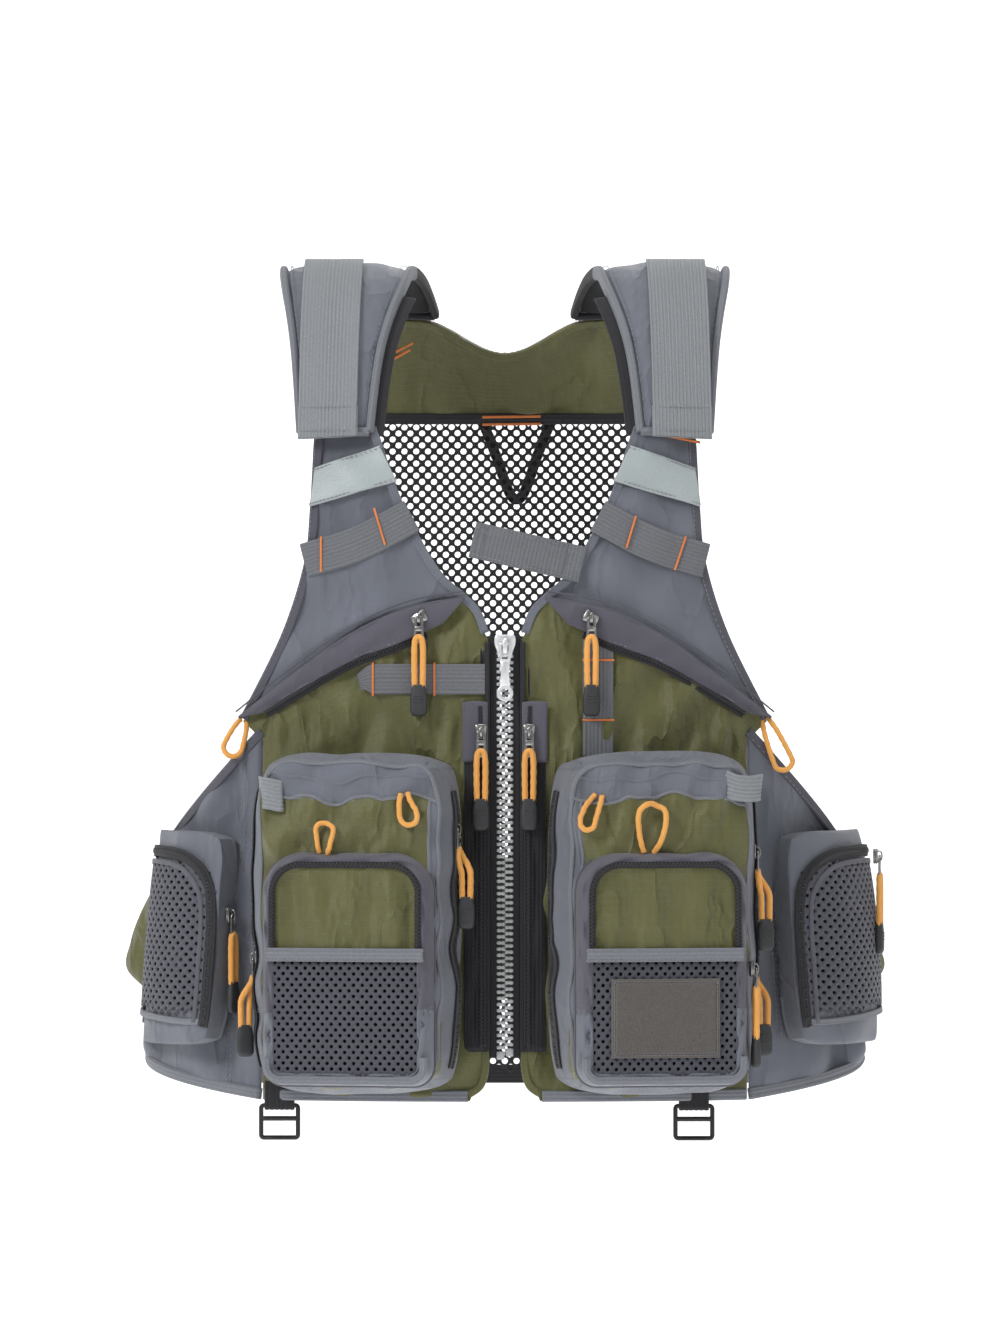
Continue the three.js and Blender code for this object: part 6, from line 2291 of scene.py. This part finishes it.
@dataclass
class InnerPocket:
    """The black strip beside the front zip, with an upright zip under a grey garage."""

    side: Side
    inner: float = 12.0
    outer: float = 26.4
    top: float = -284.0
    bottom: float = -508.0
    zip_x: float = 15.5

    def build(self) -> None:
        """Builds the strip, its zip and the garage."""
        s = self.side.sign
        u, v = span(24, 160)
        x, z = rows_between(((self.outer, self.top, self.inner, self.top, 0),
            (self.outer, self.bottom, self.inner, self.bottom, 0)), u, v, s)
        wave = Ripple(101 + s, 0.0005, 0.02, 0.05, 8).at(x, z)
        belly = 0.002 * np.sin(np.pi * u) ** 0.6 * smooth(0, 0.03, v) * smooth(1, 0.97, v)
        parts = Parts()
        outer = FORM.raised(FORM.front_face, x, z, 0.0036 + wave + belly)
        parts.shell(outer, FORM.raised(FORM.front_face, x, z, np.full(x.shape, 0.0026)), BLACK_TAPE)
        settle(parts.build("placket_" + self.side.word), ["inner_pocket_" + self.side.word])
        zips = Parts()
        places = [(s * self.zip_x, self.top - 4), (s * self.zip_x, -400), (s * self.zip_x, self.bottom + 4)]
        line = Line.on(FORM.front_face, places, 0.0058, 150)
        strap(zips, line, 0.0062, 0.001, BLACK_TAPE)
        coil(zips, line.moved(0, 0.0008), COIL)
        edge = Line.on(FORM.front_face, [(s * 11.6, -242), (s * 11.4, -380), (s * 11.4, -508)], 0.0034, 150)
        strap(zips, edge, 0.0034, 0.003, BLACK_TAPE)
        settle(zips.build("placket_zip_" + self.side.word))
        garage = Parts()
        u, v = span(20, 30)
        x, z = rows_between(((27.4, -281, 11.0, -281, 1), (27.4, -320, 11.0, -320, 0)), u, v, s)
        round_off = np.sqrt(np.clip(1 - np.abs(2 * u - 1) ** 8, 0.01,
            1) * np.clip(1 - np.abs(2 * v - 1) ** 14, 0.01, 1))
        low = FORM.raised(FORM.front_face, x, z, np.full(x.shape, 0.005))
        garage.shell(FORM.raised(FORM.front_face, x, z, 0.0052 + 0.0018 * round_off), low, FLAP)
        slit = Line.on(FORM.front_face, [(s * 16.0, -283.5), (s * 16.0, -290), (s * 16.0, -297)], 0.0072, 30)
        strap(garage, slit, 0.0024, 0.0012, BLACK_TAPE)
        settle(garage.build("placket_garage_" + self.side.word))


# ---- Side pockets --------------------------------------------------------------------------


@dataclass
class SidePocket:
    """A pocket that wraps round the side: grey at its cap and back, a net face and an arched zip."""

    side: Side
    front_x: float = 0.171
    back_angle: float = 93.0
    top: float = -0.366
    bottom: float = -0.506
    front_depth: float = 0.02
    middle_depth: float = 0.0116
    rear_depth: float = 0.008
    flat_from: float = 0.7
    crown: float = 0.008
    lift: float = 0.003

    def build(self) -> None:
        """Builds the bag, the net over it, the bindings and the zip."""
        self.start = FORM.angle_at(self.front_x, self.top)
        self.build_bag()
        self.build_net()
        self.build_trim()

    def at(self, u: Array, v: Array, extra: Array, full: float = 1.0) -> Array:
        """A point of the pocket's face: deep at its front edge, thin towards the back.

        Args:
            u: from the front edge to the back, 0 to 1.
            v: from the top to the foot.
            extra: how far off the face it is.
            full: how much of its depth it has, 1 on the face and 0 on the vest.

        Returns:
            The points.
        """
        a, b = 2 * u - 1, 2 * v - 1
        a, b = a * (1 - 0.07 * b**6), b * (1 - 0.07 * a**6)
        angle = self.side.sign * (self.start + (self.back_angle - self.start) * (a + 1) / 2)
        z = self.top + (self.bottom - self.top) * (b + 1) / 2
        dome = (
            self.crown * np.sqrt(np.clip(np.sin(np.pi * u) * np.sin(np.pi * v), 0, 1))
            * smooth(self.flat_from + 0.4, self.flat_from, u)
        )
        wall = np.interp(u, (0.0, 0.55, 0.8, 1.0),
            (self.front_depth, self.middle_depth, self.rear_depth, 0.0006))
        return FORM.raised(FORM.around, angle, z, self.lift + (wall + dome) * full + extra)

    def build_bag(self) -> None:
        """The bag, whose walls are rounded where they meet its face."""
        u, v = span(90, 90)
        edge = np.minimum(np.minimum(u, 1 - u), np.minimum(v, 1 - v))
        inner_u = np.clip((u - 0.1) / 0.8, 0, 1)
        inner_v = np.clip((v - 0.1) / 0.8, 0, 1)
        t = np.clip(edge / 0.1, 0, 1)
        full = np.sin(np.pi / 2 * t) ** 0.8
        wave = Ripple(111 + self.side.sign, 0.0009, 0.04, 0.05, 10).at(u * 0.09, v * 0.14) * t
        outer = self.at(inner_u, inner_v, wave * full, 1.0)
        base = self.at(inner_u, inner_v, np.zeros(u.shape), 0.0)
        points = base + (outer - base) * full[..., None]
        parts = Parts()
        parts.shell(points, base + (outer - base) * 0.001 - 0.0, GREY)
        obj = parts.build("side_bag_" + self.side.word)
        settle(obj, ["side_pocket_" + self.side.word])

    def build_net(self) -> None:
        """The net on the face, over a near-black sheet of painted shade for the pocket's shaded inside."""

        def place(a: Array, b: Array, lift: float) -> Array:
            """A point of the net, from the run round the side and the height below the top."""
            return self.at(a / 0.095, -b / 0.14, np.full(np.shape(a), 0.0018 + lift))

        def inside(a: Array, b: Array) -> Array:
            """Whether a hole lies in the net's arch."""
            u, v = a / 0.095, -b / 0.14
            corner = ((0.26 - u) / 0.24).clip(0, 2) ** 2 + ((0.31 - v) / 0.18).clip(0, 2) ** 2
            foot = 0.86 - 0.06 * u
            return (u > 0.035) & (u < 0.93) & (v > 0.15) & (v < foot) & (corner < 1)

        parts = Parts()
        holed(parts, place, (0.0, 0.095, -0.14, 0.0), inside, (0.0058, 0.0036), 0.0025, 0.0009, POCKET_NET)
        net = parts.build("side_net_" + self.side.word)
        settle(net)
        # Painted shade: a near-black sheet just behind the net stands in for the shaded inside of the pocket.
        u, v = span(24, 24)
        u, v = 0.06 + 0.84 * u, 0.18 + 0.63 * v
        lift = np.full(u.shape, 0.0008)
        shade_backing = Parts()
        shade_backing.shell(self.at(u, v, lift), self.at(u, v, lift - 0.0005), LINING_AND_SHADE)
        settle(shade_backing.build("side_backing_" + self.side.word))

    def band(self, parts: Parts, places: Sequence, extra: float, width: float, thick: float,
            finish: Finish) -> Line:
        """Lays a band over the face through places given as u and v."""
        at = spline(places, np.linspace(0, 1, 400))
        path = self.at(at[:, 0], at[:, 1], np.full(400, extra))
        above = self.at(at[:, 0], at[:, 1], np.full(400, extra + 0.001))
        both = even(np.hstack([path, unit(above - path)]), 120)
        line = Line(both[:, :3], unit(both[:, 3:]))
        strap(parts, line, width, thick, finish)
        return line

    def build_trim(self) -> None:
        """The arched zip down the front edge, the foot's hem band and the fold down the face."""
        zips = Parts()
        arch = [(0.03, 0.93), (0.03, 0.7), (0.03, 0.4), (0.07, 0.22), (0.22, 0.125), (0.5, 0.1), (0.95, 0.11)]
        line = self.band(zips, arch, 0.0022, 0.0076, 0.0018, BLACK_TAPE)
        coil(zips, line.moved(0, 0.001), COIL)
        settle(zips.build("side_zip_" + self.side.word))
        parts = Parts()
        self.band(parts, [(0.05, 0.9), (0.35, 0.88), (0.65, 0.86), (0.95, 0.84)], 0.0022, 0.004, 0.002,
            BINDING)
        inner = [(0.085, 0.9), (0.085, 0.7), (0.085, 0.42), (0.12, 0.27), (0.25, 0.175), (0.5, 0.15),
            (0.86, 0.16)]
        self.band(parts, inner, 0.0024, 0.0034, 0.0022, GREY_DARK)
        self.band(parts, [(0.93, 0.1), (0.93, 0.5), (0.93, 0.93)], 0.002, 0.006, 0.002, GREY)
        settle(parts.build("side_trim_" + self.side.word))


# ---- Fittings ------------------------------------------------------------------------------


@dataclass
class Fittings:
    """The fly patch, the rod tab, the buckles on their webbing and the corner tabs."""

    left: CargoPocket
    right: CargoPocket

    def build(self) -> None:
        """Builds all of them."""
        self.build_patch()
        self.build_rod_tab()
        for word in ("right", "left"):
            self.build_buckle(word)
        self.build_corner_tabs()

    def build_patch(self) -> None:
        """A loop-pile patch, its pile tufted, its edge stitched down in a flat border."""
        low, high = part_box("fly_patch")
        a, b, c = self.left.local(np.array([[(low.x + high.x) / 2, (low.y + high.y) / 2,
            (low.z + high.z) / 2]]))
        u, v = span(150, 110)
        x, z = a[0] + (u - 0.5) * 0.071, b[0] + (v - 0.5) * 0.051
        edge = np.minimum(np.minimum(u, 1 - u) * 71, np.minimum(v, 1 - v) * 51)
        rng = np.random.default_rng(7)
        pile = 0.0007 * rng.random(u.shape) * smooth(2.0, 3.6, edge) + 0.0006 * smooth(2.2, 3.4, edge)
        parts = Parts()
        outer = self.left.on_face(x, z, c[0] + 0.0006 + pile)
        parts.shell(outer, self.left.on_face(x, z, np.full(x.shape, c[0] - 0.0009)), PATCH_PILE)
        for w, h in ((0.0675, 0.0475),):
            loop = rounded_rectangle(w, h, 0.001, 3)
            loop = even(np.vstack([loop, loop[:1]]), 200)
            line = Line(self.left.on_face(a[0] + loop[:, 0], b[0] + loop[:, 1],
                np.full(200, c[0] + 0.0009)), np.tile(self.left.outward, (200, 1)))
            stitch(parts, line, BINDING, 0.0026)
        settle(parts.build("fly_patch_pile"), ["fly_patch"])

    def build_rod_tab(self) -> None:
        """A flap of doubled webbing, sewn round its edge and pressed in a long fold."""
        joint = next(j for j in frame["joints"] if j["name"] == "rod_tab_flip")
        low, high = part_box("rod_tab")
        root = np.array(joint["pos_m"], float)
        slope = np.radians(-13)
        along = np.array([-np.cos(slope), 0, -np.sin(slope)])
        up = np.array([-np.sin(slope), 0, np.cos(slope)])
        middle_y = (low.y + high.y) / 2
        u, v = span(100, 40)
        run, rise = 0.0735 * u, (v - 0.5) * 0.0235
        wave = 0.0007 * np.sin(u * 7) + Ripple(121, 0.0004, 0.03, 0.03, 7).at(run, rise)
        point = np.array([root[0], middle_y, root[2]]) + run[..., None] * along + rise[..., None] * up
        point[..., 1] -= 0.0 * wave
        rim = np.clip(np.minimum(np.minimum(u, 1 - u) * 73, np.minimum(v, 1 - v) * 23) / 1.2, 0, 1)
        thick = 0.001 + 0.0007 * np.sin(np.pi / 2 * rim) + 0.0005 * smooth(2.2, 1.6, np.abs(rise / MM - 7.0))
        front = point + np.stack([0 * u, -thick + wave * 0.6, 0 * u], -1)
        back = point + np.stack([0 * u, 0.001 + wave * 0.6, 0 * u], -1)
        parts = Parts()
        parts.shell(front, back, WEBBING_DARK)
        loop = rounded_rectangle(0.069, 0.019, 0.001, 3)
        loop = even(np.vstack([loop, loop[:1]]), 160)
        seam = (
            np.array([root[0], middle_y - 0.0018, root[2]]) + (loop[:, :1] + 0.0367) * along
            + loop[:, 1:] * up
        )
        stitch(parts, Line(seam, np.tile([0, -1.0, 0], (160, 1))), THREAD)
        for share in (0.17, 0.9):
            at = np.array([root[0], middle_y - 0.002, root[2]]) + 0.0735 * share * along
            bar = at + np.linspace(-0.0105, 0.0105, 24)[:, None] * up
            stitch(parts, Line(bar, np.tile([0, -1.0, 0], (24, 1))), BINDING, 0.0022)
        settle(parts.build("rod_holder_tab"), ["rod_tab"], "rod_tab")

    def build_buckle(self, word: str) -> None:
        """A ladder-lock buckle of three bars, hung from a loop of black webbing."""
        low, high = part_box("buckle_" + word)
        x, y = (low.x + high.x) / 2, (low.y + high.y) / 2
        wide, tall = high.x - low.x, high.z - low.z
        middle = np.array([x, y, (low.z + high.z) / 2])
        place = Frame(middle, np.array([1.0, 0, 0]), np.array([0, -1.0, 0]))
        loop = rounded_rectangle(wide - 0.003, tall - 0.003, 0.0018, 5)
        ring = np.stack([loop[:, 0], np.zeros(len(loop)), loop[:, 1]], axis=1)
        parts = Parts()
        parts.sweep(place.at(ring), place.out, oval(0.003, 0.003, 12, 3.5), PLASTIC, closed=True)
        bar_z = high.z - 0.0015 - 0.0055 - 0.003 - middle[2]
        t = np.linspace(-1, 1, 15)
        bar = np.stack([t * (wide / 2 - 0.002), np.zeros(15), np.full(15, bar_z)], axis=1)
        parts.sweep(place.at(bar), place.out, oval(0.0032, 0.003, 12, 3.0), PLASTIC)
        lip = np.stack([t * (wide / 2 - 0.004), 0.0012 * (1 - t**2), np.full(15, -tall / 2 + 0.0012)], axis=1)
        parts.sweep(place.at(lip), place.out, oval(0.0022, 0.0026, 10, 3.0), PLASTIC)
        settle(parts.build("buckle_frame_" + word), ["buckle_" + word], "buckle_" + word)
        bar_top = high.z - 0.0015
        turn = np.linspace(0, np.pi, 15)
        rad = 0.0026
        loop_path = [[0, -y0, z0] for y0, z0 in ((rad, HEM + 0.012), (rad, bar_top + 0.004))]
        down = [[0, -rad * np.cos(a), bar_top - rad * np.sin(a) * 0.95] for a in turn]
        up = [[0, rad, bar_top + 0.004], [0, rad, HEM + 0.012]]
        path = even(np.array(loop_path + down + up), 60) + [x, y, 0]
        ahead = unit(np.gradient(path, axis=0))
        normals = np.cross(ahead, [1.0, 0, 0])
        web = Parts()
        web.sweep(path, normals, ribbed(wide - 0.0075, 0.0012, 6, 0.0003), BLACK_TAPE)
        settle(web.build("buckle_webbing_" + word))

    def build_corner_tabs(self) -> None:
        """The folded webbing tabs on the big pockets' upper outer corners."""
        for cargo, folded in ((self.right, True), (self.left, False)):
            s = cargo.side.sign * cargo.side_turn()
            top = cargo.face_height / 2
            parts = Parts()
            start = np.array([s * (cargo.face_width / 2 - 0.001), top - 0.0195 if folded else top - 0.016])
            if folded:
                knots = [[start[0], start[1], -0.002], [start[0] - s * 0.004, start[1] - 0.001, 0.0042],
                    [start[0] - s * 0.0135, start[1] - 0.003, 0.0044],
                    [start[0] - s * 0.0145, start[1] - 0.0032, 0.0026],
                    [start[0] - s * 0.004, start[1] - 0.0014, 0.002]]
                width = 0.02
            else:
                knots = [[start[0] - s * 0.018, start[1] + 0.002, 0.001],
                    [start[0] - s * 0.012, start[1] - 0.001, 0.0075],
                    [start[0] - s * 0.002, start[1] - 0.002, 0.008],
                    [start[0] + s * 0.006, start[1] - 0.001, 0.0045],
                    [start[0] + s * 0.003, start[1] - 0.002, -0.004]]
                width = 0.017
            flat = even(spline(knots, np.linspace(0, 1, 120)), 50)
            path = cargo.on_face(flat[:, 0], flat[:, 1], flat[:, 2])
            ahead = unit(np.gradient(path, axis=0))
            normals = unit(np.cross(ahead, UP + 0.12 * cargo.across * s))
            parts.sweep(path, normals, ribbed(width, 0.0014, 7, 0.0003), WEBBING)
            settle(parts.build("corner_tab_" + cargo.side.word))


@dataclass
class CordLoops:
    """The loops of orange cord at the armpits and on the big pockets."""

    left: CargoPocket
    right: CargoPocket
    diameter: float = 0.0032

    def loop(self, name: str, path: Array, diameter: Optional[float] = None) -> None:
        """One free loop of cord, both of whose ends go into the vest."""
        size = diameter or self.diameter
        path = even(path, 90)
        parts = Parts()
        cord_tube(parts, path, size, CORD)
        obj = settle(parts.build(name))

    def teardrop(self, root: Sequence[float], tip: Sequence[float], wide: float, gap: float) -> Array:
        """A loop in a flat frame: from beside its root out round its tip and back.

        Args:
            root: across and up of the middle of its two ends.
            tip: across and up of its far end.
            wide: its widest, near the tip.
            gap: how far apart its ends are.

        Returns:
            Rows of across and up.
        """
        root, tip = np.asarray(root, float), np.asarray(tip, float)
        ahead = tip - root
        long = np.linalg.norm(ahead)
        ahead = ahead / long
        side = np.array([ahead[1], -ahead[0]])
        rad = wide / 2
        knots = [(0, -gap / 2), (0.35 * (long - rad), -rad * 0.72), (long - rad, -rad),
            (long - rad * 0.3, -rad * 0.72), (long, 0), (long - rad * 0.3, rad * 0.72), (long - rad, rad),
            (0.35 * (long - rad), rad * 0.72), (0, gap / 2)]
        return np.array([root + ahead * a + side * b for a, b in knots])

    def on_pocket(self, name: str, cargo: CargoPocket, root: tuple, tip: tuple, wide: float, gap: float,
            stand: float, diameter: float) -> None:
        """A loop that stands on a pocket's face, its ends sunk into the seam."""
        knots = self.teardrop(root, tip, wide, gap)
        lift = stand * np.array([-0.4, 0.6, 1.0, 1.0, 1.0, 1.0, 1.0, 0.6, -0.4]) + diameter / 2
        flat = spline(np.concatenate([knots, lift[:, None]], axis=1), np.linspace(0, 1, 200))
        over = Line(cargo.on_face(flat[:, 0], flat[:, 1], np.full(200, 0.008)),
            np.tile(cargo.outward, (200, 1)))
        self.loop(name, cling(cargo.bag, over, 0.0).points + cargo.outward * flat[:, 2:], diameter)

    def build(self) -> None:
        """Places the four pocket loops and the two armpit loops."""
        for cargo, word in ((self.right, "right"), (self.left, "left")):
            s = cargo.side.sign
            turn = cargo.side_turn()
            head = cargo.face_height / 2 - 0.058
            small = word == "right"
            x = turn * (cargo.side.sign * (0.015 if small else -0.009))
            tall, wide = (0.019, 0.015) if small else (0.031, 0.0215)
            self.on_pocket(f"pocket_loop_{word}", cargo, (x, head - 0.001),
                (x + (0.001 if small else 0.002), head + tall), wide - 0.0034, 0.0055 if small else 0.0065,
                0.003, 0.0034 if small else 0.0038)
            inner = -s * turn
            top = cargo.face_height / 2 - cargo.band
            if small:
                self.on_pocket("corner_loop_right", cargo, (inner * 0.0385, top + 0.003),
                    (inner * 0.0415, top - 0.0165), 0.0125, 0.006, 0.003, 0.0036)
            else:
                self.on_pocket("corner_loop_left", cargo, (inner * 0.044, top + 0.003),
                    (inner * 0.0525, top - 0.02), 0.0125, 0.007, 0.003, 0.0036)
        for side, low, high in ((RIGHT, (-180, -316), (-171, -293)), (LEFT, (184, -325), (170, -292))):
            root, tip = np.array(high, float) * MM, np.array(low, float) * MM
            flat = self.teardrop(root, tip, 0.012, 0.004)
            fine = spline(flat, np.linspace(0, 1, 200))
            run = np.linspace(0, 1, 200)
            y0 = float(FORM.front_face(np.array(root[0]), np.array(root[1]))[1])
            y = y0 - 0.002 - 0.006 * np.sin(np.pi * run)
            self.loop("armpit_loop_" + side.word, np.stack([fine[:, 0], y, fine[:, 1]], axis=1), 0.0036)


def main() -> None:
    """Builds the vest, from the studio and the cords to the last stitch."""
    logging.basicConfig(level=logging.INFO, format="%(message)s")
    Studio().build()
    joints = [j["name"] for j in frame["joints"] if j["name"].endswith("_pull_swing")]
    for name in joints:
        zip_name = name[: -len("_pull_swing")]
        lean = {"chest_right": -63.0, "chest_left": 63.0}.get(zip_name, 0.0)
        wall = zip_name.startswith("cargo")
        PocketZip(zip_name, lean=float(np.radians(lean)), twist=1.3 if wall else 0.0,
            stand=0.005 if wall else 0.0).build()
    Back().build()
    Front().build()
    SidePanels().build()
    Shoulders().build()
    MainZip().build()
    pockets = {}
    for side in SIDES:
        pockets[side.word] = CargoPocket(side)
        pockets[side.word].build()
        FrontPocket(pockets[side.word]).build()
        InnerPocket(side).build()
        slack = {"middle_depth": 0.0085, "rear_depth": 0.0016, "flat_from": 0.5,
            "crown": 0.004} if side is RIGHT else {}
        SidePocket(side, **slack).build()
    Fittings(pockets["left"], pockets["right"]).build()
    CordLoops(pockets["left"], pockets["right"]).build()


if __name__ == "__main__":
    main()
